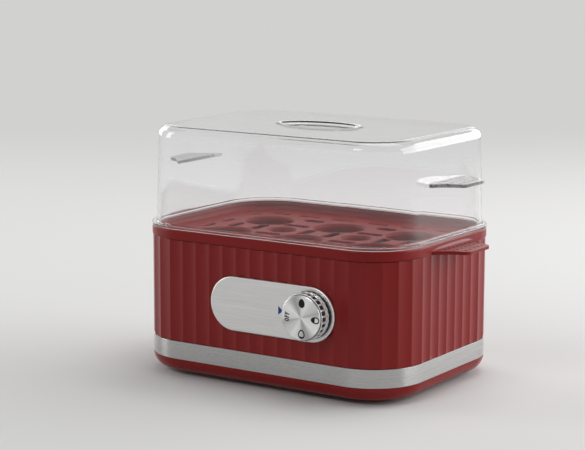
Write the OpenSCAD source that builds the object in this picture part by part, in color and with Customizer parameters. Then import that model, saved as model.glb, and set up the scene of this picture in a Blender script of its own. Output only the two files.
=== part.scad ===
// Electric egg cooker: a heated base with a fluted housing, a lift-out egg tray and a clear domed lid.
// Millimetres, +Z up, front towards -Y. The origin is the middle of the footprint on the table.

/* [Body] */
// Width of the housing across its ridges, along X
body_w = 250; // [230:1:280]
// Depth of the housing across its ridges, along Y
body_d = 183; // [170:1:210]
// Radius of the housing's four corners in plan
corner_r = 45; // [40:1:50]
// Height of the standing rim under the base
foot_h = 3.5; // [2.5:0.5:6]
// Visible height of the red base tub, under the steel band
base_h = 12; // [12:0.5:20]
// Radius of the base tub's lower edge
base_edge_r = 12; // [8:0.5:12]
// Height of the steel trim band
band_h = 15; // [10:0.5:22]
// Height of the fluted part of the housing
ribbed_h = 83.7; // [80:0.1:110]
// Wall of the housing at its ridges
body_wall = 3.6; // [3.2:0.1:5]
// Wall of the base tub
base_wall = 2.5; // [2:0.1:3.5]
// Thickness of the steel band
band_t = 0.9; // [0.5:0.1:1.2]
// Target distance from ridge to ridge round the housing
flute_pitch = 13.15; // [10:0.05:20]
// Depth of each flute
flute_depth = 1; // [0.5:0.1:1.4]

/* [Water pan and heater] */
// Drop from the housing's top edge to the ledge that carries the pan
ledge_drop = 10.7; // [10:0.1:14]
// Thickness of that ledge
ledge_t = 2.5; // [2:0.1:4]
// Distance from the corner centres out to the pan's wall
pan_reach = 27; // [22:0.5:29]
// Depth of the pan below its flange
pan_depth = 16.3; // [12:0.1:20]
// Thickness of the pan's steel sheet
pan_t = 1; // [0.6:0.1:1.5]
// Thickness of the silicone gasket under the flange
gasket_t = 0.8; // [0.5:0.1:1.5]
// Diameter of the aluminium heater plate
heater_d = 116; // [90:1:130]
// Thickness of the heater plate
heater_t = 5; // [3:0.5:6]
// Radius of the heating element's loop
element_r = 42; // [34:1:48]
// Diameter of the element's tube
element_d = 7; // [5:0.5:8]
// Gap between the element and the heat shield
shield_gap = 14; // [12:0.5:18]
// Width of the heat shield
shield_w = 152; // [140:1:158]
// Depth of the heat shield
shield_d = 100; // [96:1:108]
// Thickness of the heat shield
shield_t = 0.8; // [0.5:0.1:1.5]

/* [Egg tray] */
// Height of the tray's red rim
rim_h = 8; // [6:0.5:14]
// How far the rim stands out past the ridges
rim_over = 0.4; // [0:0.1:1.5]
// Thickness of the rim's wall
rim_t = 3; // [2:0.1:3.5]
// Thickness of the tray's floor
tray_t = 2; // [1.5:0.1:3]
// Diameter of a large egg seat
egg_d = 41; // [38:0.5:42]
// Diameter of a small seat between four large ones
small_d = 22.5; // [18:0.5:24]
// Wall of the collar round each seat
collar_t = 1.5; // [1:0.1:2]
// How far a collar hangs below the floor
collar_h = 5; // [2:0.5:6]
// Distance between large seats along X
egg_pitch_x = 70; // [68:0.5:74]
// Distance between large seats along Y
egg_pitch_y = 64; // [62:0.5:70]

/* [Finger tabs] */
// How far a finger tab stands out from its wall
tab_out = 24.6; // [18:0.5:30]
// Half width of a tab at the wall
tab_root = 33; // [26:0.5:38]
// Half width of a tab at its tip
tab_tip = 20; // [15:0.5:24]
// Thickness of a tab
tab_t = 2.7; // [2:0.1:4]

/* [Lid] */
// Height of the lid above the tray's rim
lid_h = 82.2; // [70:0.5:110]
// Thickness of the clear wall
lid_t = 2; // [1.6:0.1:3]
// Height of the lid's flange
flange_t = 2.2; // [1.5:0.1:3]
// How far the flange stands out from the wall
flange_out = 3.6; // [3.2:0.1:5]
// How much the wall leans in, from flange to top
lid_taper = 2.2; // [0.5:0.1:4]
// Radius of the lid's top edge
lid_edge_r = 8.3; // [5:0.1:12]
// How far the locating lip drops inside the rim
lip_drop = 3; // [1.5:0.5:4]
// Height of the lid's tabs above the tray's rim
lid_tab_z = 44.2; // [30:0.5:60]
// Length of the shallow dish in the lid's top
dish_l = 72; // [50:1:90]
// Width of that dish
dish_w = 38; // [24:1:44]
// Depth of that dish
dish_depth = 2.2; // [1.5:0.1:3]
// Diameter of a steam vent
vent_d = 5; // [3:0.5:8]
// Distance between the two steam vents
vent_pitch = 34; // [20:1:44]

/* [Control panel] */
// Length of the steel panel
plate_l = 117; // [100:1:125]
// Height of the steel panel
plate_h = 44; // [42:1:50]
// Thickness of the steel panel
plate_t = 2.2; // [1.6:0.1:3]
// Middle of the panel along X
plate_x = 15.5; // [5:0.5:20]
// Middle of the panel above the steel band
plate_rise = 38.5; // [34:0.5:44]
// Diameter of the knob at its ribs
knob_d = 38; // [34:0.5:40]
// Diameter of the knob's spun face
face_d = 35.4; // [30:0.2:36]
// Length of the knob along its axis
knob_l = 13.6; // [12.5:0.1:18]
// Number of grooves round the knob
grooves = 24; // [12:1:30]
// Diameter of the switch shaft
shaft_d = 6; // [5:0.1:6.4]

/* [Fits] */
// Gap between the lift-off parts where they rest on each other
seat_gap = 0.3; // [0.2:0.05:0.5]
// Gap beside the tray where it drops into the housing
tray_fit = 0.4; // [0.3:0.05:0.8]
// Gap between trim, gasket and screws and what holds them
snug = 0.1; // [0.05:0.01:0.2]
// Radial running clearance of the switch shaft
run_fit = 0.05; // [0.02:0.01:0.08]

/* [Hidden] */
$fn = 64;
fine = 128;
over = 1;

// Every plan outline is the same core rectangle, grown by a reach.
core_x = body_w / 2 - corner_r;
core_y = body_d / 2 - corner_r;
inner_reach = corner_r - body_wall;
rim_reach = corner_r + rim_over;
skirt_reach = corner_r - band_t - snug;
front_y = -(core_y + corner_r);
rear_y = core_y + corner_r;
wall_in = front_y + body_wall;

// Heights, from the table up.
base_floor = foot_h + base_wall;
z_band = foot_h + base_h;
z_ribs = z_band + band_h;
z_deck = z_ribs + ribbed_h;
z_ledge = z_deck - ledge_drop;
z_flange = z_ledge + gasket_t;
z_pan = z_flange - pan_depth;
z_heater = z_pan - heater_t;
z_element = z_heater - element_d / 2 - snug;
z_shield = z_element - element_d / 2 - shield_gap;
z_rim = z_deck + seat_gap;
z_rim_top = z_rim + rim_h;
floor_sink = 0.2;
z_floor = z_rim - floor_sink;
z_lid = z_rim_top + seat_gap;
z_plate = z_ribs + plate_rise;

// The standing rim under the base.
foot_inset = 21;
foot_t = 3;
foot_out = corner_r - foot_inset;
foot_in = foot_out - foot_t;
vent_l = 34;
vent_w = 3;
vent_step = 9;
pad_d = 14;
stem_d = 6;
barb_h = 1.6;

// The lip that locates the base in the housing's skirt.
lip_t = 2.5;
lip_up = 4.5;
lip_web = 3;

// The pan hangs by its flange on the ledge.
pan_edge_r = 5;
ledge_in = pan_reach + pan_t + 3;
flange_reach = inner_reach - 2.4;

// Screw towers, on a line 60 degrees round each corner.
tower_d = 9;
tower_angle = 60;
tower_reach = pan_reach + pan_t + 1.5 + tower_d / 2;
tower_split = z_band + lip_up + 0.5;
tower_grip = 12;
web_t = 3;
screw_d = 3;
screw_head_d = 6;
screw_head_h = 2.2;
screw_seat = foot_h + 5;

// Studs on the pan carry the heat shield between nuts.
stud_edge = 10;
stud_x = shield_w / 2 - stud_edge - 2;
stud_y = shield_d / 2 - stud_edge;
stud_d = 4;
nut_h = 3.2;
nut_r = 4;
stud_tail = 2;
shield_r = 18;
shield_rim = 6;
wire_hole_x = 56;
wire_hole_d = 14;

// Thermostat, its strap and the fuse, under the heater plate.
stat_d = 16;
stat_h = 8;
blade_l = 8;
blade_w = 6.3;
blade_t = 0.8;
strap_t = 1;
strap_w = 10;
strap_l = 60;
z_stat = z_heater - snug - stat_h;
z_blade = z_stat + 2.5;
fuse_d = 4;
fuse_l = 20;
fuse_x = -27;
z_fuse = z_heater - snug - fuse_d / 2;
element_gap = 30;
pin_l = 12;
pin_d = 5;
pin_x = element_r * cos(element_gap);
pin_y = element_r * sin(element_gap);
z_pin = z_element - pin_l;
crimp_h = 4;
crimp_wall = 1;
z_spade = z_pin + crimp_h / 2;
spade_tip = pin_x + pin_d / 2 + crimp_wall + blade_l;

// Panel, switch and knob, from the housing's wall outwards.
plate_y = front_y - snug / 2;
plate_face = plate_y - plate_t;
plate_bevel = 0.7;
plate_stud_d = 3.6;
stud_grip = 5;
plate_stud_l = body_wall + stud_grip;
plate_studs = [plate_x - (plate_l - plate_h) / 2, plate_x + 4];
clip_d = 10;
clip_t = 1;
knob_x = plate_x + (plate_l - plate_h) / 2;
neck_d = shaft_d + 3;
neck_out = 0.8;
switch_nut_t = 2.4;
switch_nut_r = 7.4;
knob_gap = 0.6;
knob_back = plate_face - knob_gap;
face_t = 1.6;
face_bevel = 0.4;
grip_l = knob_l - knob_gap - face_t;
groove_w = 2.2;
groove_depth = 1.5;
hollow_d = 22;
hollow_l = 8;
hub_d = 12;
hub_start = switch_nut_t + neck_out;
spigot_d = 18;
spigot_l = 1.5;
flat_cut = 1.2;
clip_ring_t = 0.6;
switch_w = 28;
switch_h = 26;
switch_l = 21;
shaft_in = 12;
switch_blade_x = 6;
switch_blade_z = z_plate - 6;
switch_back = wall_in + snug + switch_l;
pointer_gap = 5.7;
pointer_l = 4.8;
pointer_h = 6.4;
pointer_t = 0.2;

// Rear cord outlet.
gland_x = -60;
gland_rise = 27;
gland_z = z_band + gland_rise;
gland_bore = 7;
gland_neck = 12;
gland_flange = 18;
gland_cap = 2;

// Terminal block on the base's floor.
block_x = -58;
block_y = 38;
block_l = 38;
block_w = 20;
block_h = 16;
block_body = 24;
ear_t = 4;
ear_hole = block_l / 2 - 4;
block_stand = 4;
z_block = base_floor + block_stand;
block_front = block_y - block_w / 2;

// Wires, as points from terminal to terminal.
wire_d = 2.4;
lead = 0.8;
wire_reach = 14;
z_run = base_floor + 8;
z_over = z_shield + shield_rim + 3;
z_port = z_block + block_h / 2;
feed_x = block_x - 8;
return_x = block_x + 8;
wire_front = -(shield_d / 2 + 4);
feed_wire = [[feed_x, block_front - lead, z_port], [feed_x, block_front - wire_reach, z_run],
    [knob_x - switch_blade_x, wire_front, z_run], [knob_x - switch_blade_x, wire_front, switch_blade_z],
    [knob_x - switch_blade_x, switch_back + blade_l, switch_blade_z]];
stat_wire = [[knob_x + switch_blade_x, switch_back + blade_l, switch_blade_z],
    [knob_x + switch_blade_x, wire_front, switch_blade_z], [knob_x + switch_blade_x, wire_front, z_over],
    [stat_d, -strap_l / 2 - 4, z_over], [stat_d / 2 + blade_l + 4, -6, z_over],
    [stat_d / 2 + blade_l + lead, 0, z_blade]];
fuse_wire = [[-stat_d / 2 - blade_l - lead, 0, z_blade], [-stat_d / 2 - blade_l - 4, -10, z_over],
    [fuse_x, -fuse_l / 2 - 6, z_over], [fuse_x, -fuse_l / 2 - 4, z_fuse], [fuse_x, -fuse_l / 2, z_fuse]];
element_wire = [[fuse_x, fuse_l / 2, z_fuse], [fuse_x, fuse_l / 2 + 4, z_fuse],
    [fuse_x + 4, fuse_l / 2 + 10, z_over], [spade_tip + 6, pin_y + 12, z_over],
    [spade_tip + 4, pin_y, z_spade], [spade_tip, pin_y, z_spade]];
return_wire = [[return_x, block_front - lead, z_port], [return_x, block_front - wire_reach, z_run],
    [wire_hole_x, 0, z_run], [wire_hole_x, 0, z_spade], [spade_tip + 4, -pin_y, z_spade],
    [spade_tip, -pin_y, z_spade]];
z_stud_tail = z_shield - nut_h - stud_tail;
z_low = base_floor + 3.5;
ground_wire = [[block_x, block_front - lead, z_port], [block_x, block_front - wire_reach, z_low],
    [-stud_x, -stud_y, z_low], [-stud_x, -stud_y, z_stud_tail]];

// ---------- shared shapes ----------
module rounded(w, d, r) {
    square([w - 2 * r, d], center = true);
    square([w, d - 2 * r], center = true);
    for (x = [-1, 1], y = [-1, 1])
        translate([x * (w / 2 - r), y * (d / 2 - r)]) circle(r);
}

module outline(reach) {
    rounded(2 * (core_x + reach), 2 * (core_y + reach), reach);
}

module slab(reach, z, t) {
    translate([0, 0, z]) linear_extrude(t) outline(reach);
}

// Sweeps a 2D profile, x outwards from the core and y up, round the core rectangle.
module around() {
    for (side = [0:3]) {
        run = side % 2 == 0 ? 2 * core_y : 2 * core_x;
        out = side % 2 == 0 ? core_x : core_y;
        rotate(90 * side) translate([out, 0, 0]) {
            rotate([90, 0, 0]) linear_extrude(run, center = true) children();
            translate([0, run / 2, 0]) rotate_extrude(angle = 90) children();
        }
    }
}

module core(h) {
    translate([-core_x, -core_y, 0]) cube([2 * core_x, 2 * core_y, h]);
}

module ring(inner, outer, z, h) {
    translate([0, 0, z]) around() translate([inner, 0]) square([outer - inner, h]);
}

// Solid tub with a rounded lower edge, standing on z = 0.
module tub(reach, h, r) {
    around() intersection() {
        square([reach, h]);
        union() {
            square([reach - r, h]);
            translate([0, r]) square([reach, h]);
            translate([reach - r, r]) circle(r);
        }
    }
    core(h);
}

// Solid dome with leaning walls and a rounded upper edge, standing on z = 0.
module dome(reach, top_reach, h, r) {
    around() {
        polygon([[0, 0], [reach, 0], [top_reach, h - r], [top_reach - r, h - r],
            [top_reach - r, h], [0, h]]);
        translate([top_reach - r, h - r]) circle(r);
    }
    core(h);
}

// Draws its children at the +X +Y corner and mirrors them to the other three.
module each_corner(x, y) {
    for (mx = [0, 1], my = [0, 1]) mirror([mx, 0, 0]) mirror([0, my, 0])
        translate([x, y, 0]) children();
}

// Places its children on a corner's screw tower line, with X pointing out to the wall.
module each_tower() {
    each_corner(core_x, core_y) rotate(tower_angle) translate([tower_reach, 0, 0]) children();
}

// Straight bar with round ends, along X.
module stadium(l, w) {
    square([l - w, w], center = true);
    for (s = [-1, 1]) translate([s * (l - w) / 2, 0]) circle(w / 2);
}

// Turns a shape so that its height runs towards the front, and its Y runs up.
module facing_front(x, y, z) {
    translate([x, y, z]) rotate([90, 0, 0]) children();
}

module facing_rear(x, y, z) {
    translate([x, y, z]) rotate([-90, 0, 0]) children();
}

// Finger tab in plan: it stands out from x = 0, and its root reaches back into the wall.
module tab_plan(back) {
    r = 6;
    polygon([[-back, -tab_root], [0, -tab_root], [tab_out - r, -tab_tip], [tab_out, -tab_tip + r],
        [tab_out, tab_tip - r], [tab_out - r, tab_tip], [0, tab_root], [-back, tab_root]]);
    for (s = [-1, 1]) translate([tab_out - r, s * (tab_tip - r)]) circle(r);
}

module both_tabs(wall_x, z, back) {
    for (side = [0, 1]) mirror([side, 0, 0]) translate([wall_x, 0, z])
        linear_extrude(tab_t) tab_plan(back);
}

// Round bar from one point to another.
module rod(a, b, d) {
    v = b - a;
    l = norm(v);
    translate(a) rotate([0, acos(v[2] / l), atan2(v[1], v[0])]) cylinder(h = l, d = d);
}

module wire(points) {
    for (i = [1:len(points) - 1]) rod(points[i - 1], points[i], wire_d);
    for (i = [1:len(points) - 2]) translate(points[i]) sphere(d = wire_d + snug);
}

module blade(at, turn) {
    translate(at) rotate(turn) translate([0, -blade_w / 2, -blade_t / 2])
        cube([blade_l, blade_w, blade_t]);
}

// ---------- flutes ----------
quarter = core_x + core_y + corner_r * PI / 2;
flutes_per_quarter = round(quarter / flute_pitch);
pitch = quarter / flutes_per_quarter;
flute_r = pitch * pitch / 8 / flute_depth + flute_depth / 2;

// Point and outward angle on the housing's outline, at a distance from the front's middle.
function arc_angle(s) = 90 - (s - core_x) / corner_r * 180 / PI;
function edge_spot(s) =
    s < core_x ? [s, core_y + corner_r, 90] :
    s > core_x + corner_r * PI / 2 ?
        [core_x + corner_r, core_y - (s - core_x - corner_r * PI / 2), 0] :
        [core_x + corner_r * cos(arc_angle(s)), core_y + corner_r * sin(arc_angle(s)), arc_angle(s)];

module flute(spot) {
    lift = flute_r - flute_depth;
    translate([spot[0] + lift * cos(spot[2]), spot[1] + lift * sin(spot[2])])
        circle(flute_r, $fn = fine);
}

module flutes() {
    for (my = [0, 1]) mirror([0, my]) flute(edge_spot(0));
    for (mx = [0, 1]) mirror([mx, 0]) flute(edge_spot(quarter));
    for (i = [1:flutes_per_quarter - 1], mx = [0, 1], my = [0, 1])
        mirror([mx, 0]) mirror([0, my]) flute(edge_spot(i * pitch));
}

// ---------- base ----------
// Moulded red tub under the steel band, with a standing rim, a locating lip and screw towers.
module base_tub() color([0.42, 0.02, 0.02]) difference() {
    union() {
        difference() {
            translate([0, 0, foot_h]) tub(corner_r, base_h - snug, base_edge_r);
            translate([0, 0, base_floor]) tub(corner_r - base_wall, base_h, base_edge_r - base_wall);
        }
        ring(foot_in, foot_out, 0, base_floor);
        ring(inner_reach - snug - lip_t, inner_reach - snug, z_band - lip_web, lip_web + lip_up);
        ring(inner_reach - snug - over, corner_r - base_wall + over, z_band - lip_web, lip_web - snug);
        each_tower() translate([0, 0, foot_h + base_wall / 2])
            cylinder(h = tower_split - foot_h - base_wall / 2, d = tower_d);
        for (s = [-1, 1]) translate([block_x + s * ear_hole, block_y, foot_h + base_wall / 2])
            cylinder(h = block_stand + base_wall / 2, d = 7);
    }
    each_tower() {
        cylinder(h = tower_split + over, d = screw_d + 2 * snug);
        cylinder(h = screw_seat, d = screw_head_d + 6 * snug);
    }
    each_corner(core_x, core_y) cylinder(h = base_floor + over, d = stem_d + 2 * snug);
    for (s = [-1, 1]) translate([block_x + s * ear_hole, block_y, base_floor - 1])
        cylinder(h = block_stand + over + 1, d = screw_d);
    for (s = [-1, 1], i = [-2:2]) translate([s * core_x / 2 + vent_step * i, 0, 0])
        linear_extrude(base_floor + over) rotate(90) stadium(vent_l, vent_w);
}

// Four rubber pads, level with the standing rim, each barbed through the floor.
module rubber_feet() color([0.07, 0.07, 0.07]) each_corner(core_x, core_y) {
    cylinder(h = foot_h, d = pad_d);
    cylinder(h = base_floor + snug, d = stem_d);
    translate([0, 0, base_floor + snug]) cylinder(h = barb_h, d1 = stem_d + 2.4, d2 = stem_d - 1);
}

// Brushed stainless band, slipped over the housing's skirt.
module steel_band() color([0.78, 0.78, 0.77])
    ring(corner_r - band_t, corner_r, z_band, band_h - snug);

// Moulded red housing: flutes outside, a ledge for the pan and four screw towers inside.
module fluted_housing() color([0.48, 0.04, 0.04]) {
    difference() {
        union() {
            translate([0, 0, z_ribs]) linear_extrude(ribbed_h) difference() {
                outline(corner_r);
                flutes();
            }
            slab(skirt_reach, z_band, band_h);
            facing_front(plate_x, wall_in - body_wall / 2, z_plate)
                linear_extrude(body_wall / 2) stadium(plate_l - 3, plate_h - 3);
            facing_rear(gland_x, rear_y - body_wall / 2, gland_z)
                cylinder(h = body_wall / 2, d = gland_flange + 2);
        }
        slab(inner_reach, z_band - over, z_ledge - ledge_t - z_band + over);
        slab(inner_reach, z_ledge, ledge_drop + over);
        slab(ledge_in, z_ledge - ledge_t - over, ledge_t + 2 * over);
        facing_front(knob_x, wall_in + over, z_plate)
            cylinder(h = body_wall + 2 * over, d = neck_d + 4 * snug);
        for (x = plate_studs) facing_front(x, wall_in + over, z_plate)
            cylinder(h = body_wall + 2 * over, d = plate_stud_d + 4 * snug);
        facing_rear(gland_x, rear_y - body_wall - over, gland_z)
            cylinder(h = body_wall + 2 * over, d = gland_neck + 2 * snug);
    }
    each_tower() translate([0, 0, tower_split + seat_gap]) difference() {
        union() {
            cylinder(h = z_ledge - ledge_t / 2 - tower_split - seat_gap, d = tower_d);
            translate([0, -web_t / 2, 0]) cube([inner_reach - tower_reach + body_wall / 2, web_t,
                z_ledge - ledge_t / 2 - tower_split - seat_gap]);
        }
        translate([0, 0, -over]) cylinder(h = tower_grip + over, d = screw_d + snug);
    }
}

// Screws driven up through the base into the housing's towers.
module base_screws() color([0.6, 0.6, 0.6]) each_tower() {
    translate([0, 0, screw_seat - screw_head_h]) cylinder(h = screw_head_h, d = screw_head_d);
    translate([0, 0, screw_seat - over]) cylinder(h = tower_split + tower_grip - screw_seat, d = screw_d);
}

// ---------- water pan and heater ----------
// Pressed stainless pan with a flange, and four weld studs below.
module water_pan() color([0.72, 0.72, 0.72]) {
    translate([0, 0, z_pan]) difference() {
        tub(pan_reach + pan_t, pan_depth + pan_t, pan_edge_r + pan_t);
        translate([0, 0, pan_t]) tub(pan_reach, pan_depth + pan_t, pan_edge_r);
    }
    ring(pan_reach + pan_t / 2, flange_reach, z_flange, pan_t);
    each_corner(stud_x, stud_y) translate([0, 0, z_stud_tail])
        cylinder(h = z_pan - z_stud_tail + pan_t / 2, d = stud_d);
}

module pan_gasket() color([0.85, 0.85, 0.82])
    ring(ledge_in + 0.5, flange_reach, z_ledge, gasket_t);

module heater_plate() color([0.7, 0.7, 0.72]) translate([0, 0, z_heater])
    cylinder(h = heater_t, d = heater_d, $fn = fine);

// Sheathed element: an open loop with a sealed collar and a cold pin at each end.
module heating_element() color([0.35, 0.33, 0.32]) {
    translate([0, 0, z_element]) rotate(element_gap) rotate_extrude(angle = 360 - 2 * element_gap)
        translate([element_r, 0]) circle(d = element_d);
    for (s = [-1, 1]) translate([pin_x, s * pin_y, 0]) {
        translate([0, 0, z_element - element_d]) cylinder(h = element_d * 1.4, d = element_d + 2);
        translate([0, 0, z_pin]) cylinder(h = pin_l, d = pin_d);
    }
}

// Spade terminals crimped round the element's cold pins.
module element_terminals() color([0.75, 0.72, 0.6]) for (s = [-1, 1])
    translate([pin_x, s * pin_y, z_pin]) difference() {
        union() {
            cylinder(h = crimp_h, d = pin_d + 2 * crimp_wall);
            blade([pin_d / 2 + crimp_wall - 0.5, 0, crimp_h / 2], 0);
        }
        translate([0, 0, -over]) cylinder(h = crimp_h + 2 * over, d = pin_d + snug);
    }

// Snap-disc thermostat, pressed up against the heater plate.
module thermostat() color([0.2, 0.2, 0.22]) {
    translate([0, 0, z_stat]) cylinder(h = stat_h, d = stat_d);
    for (turn = [0, 180]) rotate(turn) blade([stat_d / 2 - 0.5, 0, z_blade], 0);
}

// Strap that holds the thermostat up, with its feet on the heater plate.
module thermostat_bracket() color([0.66, 0.66, 0.66]) {
    translate([-strap_w / 2, -strap_l / 2, z_stat - strap_t - snug]) cube([strap_w, strap_l, strap_t]);
    for (s = [0, 1]) mirror([0, s, 0]) translate([-strap_w / 2, strap_l / 2 - strap_t, 0]) {
        translate([0, 0, z_stat - strap_t - snug])
            cube([strap_w, strap_t, z_heater - z_stat + strap_t]);
        translate([0, -5, z_heater - strap_t - snug]) cube([strap_w, 5 + strap_t, strap_t]);
    }
}

// Thermal fuse in its sleeve.
module thermal_fuse() color([0.9, 0.88, 0.8]) rod([fuse_x, -fuse_l / 2, z_fuse],
    [fuse_x, fuse_l / 2, z_fuse], fuse_d);

// Bent clip that holds the fuse under the heater plate.
module fuse_clip() color([0.66, 0.66, 0.66]) translate([fuse_x, 0, z_fuse]) {
    inner = fuse_d / 2 + snug;
    difference() {
        rotate([90, 0, 0]) cylinder(h = 8, r = inner + 0.8, center = true);
        rotate([90, 0, 0]) cylinder(h = 10, r = inner, center = true);
        translate([-fuse_d, -over - 4, 0]) cube([2 * fuse_d, 8 + 2 * over, fuse_d]);
    }
    for (s = [0, 1]) mirror([s, 0, 0]) translate([inner, -4, -0.4]) {
        cube([0.8, 8, fuse_d / 2 + 0.4]);
        translate([0, 0, fuse_d / 2 - 0.8]) cube([5, 8, 0.8]);
    }
}

// Steel tray under the heater that keeps its heat off the base.
module heat_shield() color([0.74, 0.74, 0.74]) translate([0, 0, z_shield]) difference() {
    linear_extrude(shield_rim) rounded(shield_w, shield_d, shield_r);
    translate([0, 0, shield_t]) linear_extrude(shield_rim)
        rounded(shield_w - 2 * shield_t, shield_d - 2 * shield_t, shield_r - shield_t);
    each_corner(stud_x, stud_y) translate([0, 0, -over])
        cylinder(h = shield_t + 2 * over, d = stud_d + 4 * snug);
    translate([wire_hole_x, 0, -over]) cylinder(h = shield_t + 2 * over, d = wire_hole_d);
}

module shield_nuts() color([0.7, 0.7, 0.66]) each_corner(stud_x, stud_y)
    for (z = [z_shield - nut_h, z_shield + shield_t]) translate([0, 0, z]) difference() {
        cylinder(h = nut_h, r = nut_r, $fn = 6);
        translate([0, 0, -over]) cylinder(h = nut_h + 2 * over, d = stud_d + snug);
    }

// ---------- control panel ----------
// Bevelled steel panel with two studs through the housing's wall.
module control_plate() color([0.8, 0.8, 0.79]) difference() {
    union() {
        facing_front(plate_x, plate_y, z_plate) linear_extrude(plate_t - plate_bevel)
            stadium(plate_l, plate_h);
        for (s = [-1, 1])
            facing_front(plate_x + s * (plate_l - plate_h) / 2, plate_face + plate_bevel, z_plate)
                cylinder(h = plate_bevel, r1 = plate_h / 2, r2 = plate_h / 2 - plate_bevel);
        translate([plate_x, plate_face + plate_bevel, z_plate]) rotate([0, -90, 0])
            linear_extrude(plate_l - plate_h, center = true)
                polygon([[-plate_h / 2, 0], [plate_h / 2, 0],
                    [plate_h / 2 - plate_bevel, -plate_bevel], [plate_bevel - plate_h / 2, -plate_bevel]]);
        for (x = plate_studs) facing_rear(x, plate_y - plate_t / 2, z_plate)
            cylinder(h = plate_stud_l + plate_t / 2, d = plate_stud_d);
    }
    facing_front(knob_x, plate_y + over, z_plate)
        cylinder(h = plate_t + 2 * over, d = neck_d + 4 * snug);
}

// Push-on clips that hold the panel's studs inside the wall.
module plate_clips() color([0.6, 0.6, 0.6]) for (x = plate_studs)
    facing_rear(x, wall_in + snug, z_plate) difference() {
        cylinder(h = clip_t, d = clip_d);
        translate([0, 0, -over]) cylinder(h = clip_t + 2 * over, d = plate_stud_d + snug);
    }

// Blue pointer printed beside the knob.
module pointer_mark() color([0.06, 0.14, 0.45])
    facing_front(knob_x - knob_d / 2 - pointer_gap, plate_face, z_plate) linear_extrude(pointer_t)
        polygon([[-pointer_l, -pointer_h / 2], [0, 0], [-pointer_l, pointer_h / 2]]);

// Four-position rotary switch with a threaded neck through wall and panel.
module rotary_switch() color([0.12, 0.12, 0.13]) {
    difference() {
        union() {
            translate([knob_x - switch_w / 2, wall_in + snug, z_plate - switch_h / 2])
                cube([switch_w, switch_l, switch_h]);
            facing_front(knob_x, wall_in + snug + over, z_plate)
                cylinder(h = wall_in + snug + over - plate_face + hub_start, d = neck_d);
        }
        facing_front(knob_x, wall_in + shaft_in, z_plate)
            cylinder(h = wall_in + shaft_in - plate_face + hub_start + over, d = shaft_d + 2 * run_fit);
    }
    for (s = [-1, 1]) translate([0, -0.5, 0])
        blade([knob_x + s * switch_blade_x, switch_back, switch_blade_z], 90);
}

module switch_nut() color([0.72, 0.72, 0.7]) facing_front(knob_x, plate_face, z_plate) difference() {
    cylinder(h = switch_nut_t, r = switch_nut_r, $fn = 6);
    translate([0, 0, -over]) cylinder(h = switch_nut_t + 2 * over, d = neck_d + snug);
}

// ---------- knob ----------
module d_profile(d, flat) intersection() {
    circle(d = d);
    translate([-d, -d]) square([2 * d, d + d / 2 - flat]);
}

// Switch shaft, round in the neck and flatted in the knob.
module switch_shaft() color([0.65, 0.65, 0.65]) {
    facing_front(knob_x, wall_in + shaft_in - over, z_plate)
        cylinder(h = wall_in + shaft_in - over - plate_face + hub_start, d = shaft_d);
    facing_front(knob_x, plate_face - hub_start + over, z_plate)
        linear_extrude(knob_gap + grip_l - hub_start - spigot_l - snug + over) d_profile(shaft_d, flat_cut);
}

// Knob body with open grooves, hollow at the back to clear the nut.
module knob_grip() color([0.75, 0.75, 0.75]) facing_front(knob_x, knob_back, z_plate) difference() {
    cylinder(h = grip_l, d = knob_d, $fn = fine);
    difference() {
        translate([0, 0, -over]) cylinder(h = hollow_l + over, d = hollow_d);
        translate([0, 0, hub_start + snug]) cylinder(h = hollow_l, d = hub_d);
    }
    translate([0, 0, -over]) linear_extrude(grip_l + 2 * over)
        d_profile(shaft_d + 2 * snug, flat_cut);
    translate([0, 0, grip_l - spigot_l]) cylinder(h = spigot_l + over, d = spigot_d + 2 * snug);
    for (i = [0:grooves - 1]) rotate(i * 360 / grooves)
        translate([knob_d / 2 - groove_depth, -groove_w / 2, -over])
            cube([groove_depth + over, groove_w, grip_l + 2 * over]);
}

// Spun metal cap on the front of the knob.
module knob_face() color([0.85, 0.85, 0.85])
    facing_front(knob_x, knob_back - grip_l, z_plate) {
        translate([0, 0, snug - spigot_l]) cylinder(h = spigot_l, d = spigot_d);
        translate([0, 0, snug]) cylinder(h = face_t - snug - face_bevel, d = face_d, $fn = fine);
        translate([0, 0, face_t - face_bevel])
            cylinder(h = face_bevel, d1 = face_d, d2 = face_d - 2 * face_bevel, $fn = fine);
    }

// Spring ring round the knob's hub.
module shaft_clip() color([0.55, 0.55, 0.55])
    facing_front(knob_x, knob_back - hub_start - 1, z_plate) difference() {
        cylinder(h = 3, d = hub_d + 2 * clip_ring_t);
        translate([0, 0, -over]) cylinder(h = 3 + 2 * over, d = hub_d + snug);
        translate([0, -1, -over]) cube([hub_d, 2, 3 + 2 * over]);
    }

// ---------- wiring ----------
module terminal_block() color([0.88, 0.87, 0.82]) translate([block_x, block_y, z_block]) difference() {
    union() {
        translate([-block_body / 2, -block_w / 2, 0]) cube([block_body, block_w, block_h]);
        translate([-block_l / 2, -6, 0]) cube([block_l, 12, ear_t]);
    }
    for (s = [-1, 1]) translate([s * ear_hole, 0, -over])
        cylinder(h = ear_t + 2 * over, d = screw_d + 2 * snug);
    for (x = [-8, 0, 8]) translate([x, 4, block_h - 6]) cylinder(h = 6 + over, d = 4);
}

module block_screws() color([0.6, 0.6, 0.6]) for (s = [-1, 1])
    translate([block_x + s * ear_hole, block_y, z_block]) {
        translate([0, 0, ear_t]) cylinder(h = screw_head_h, d = screw_head_d);
        translate([0, 0, snug - block_stand]) cylinder(h = ear_t + block_stand, d = screw_d - snug);
    }

// Live side: block to switch, switch to thermostat, thermostat to fuse, fuse to element.
module live_wires() color([0.45, 0.25, 0.12])
    for (route = [feed_wire, stat_wire, fuse_wire, element_wire]) wire(route);

module neutral_wire() color([0.15, 0.3, 0.6]) wire(return_wire);

module earth_wire() color([0.35, 0.6, 0.2]) wire(ground_wire);

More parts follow.
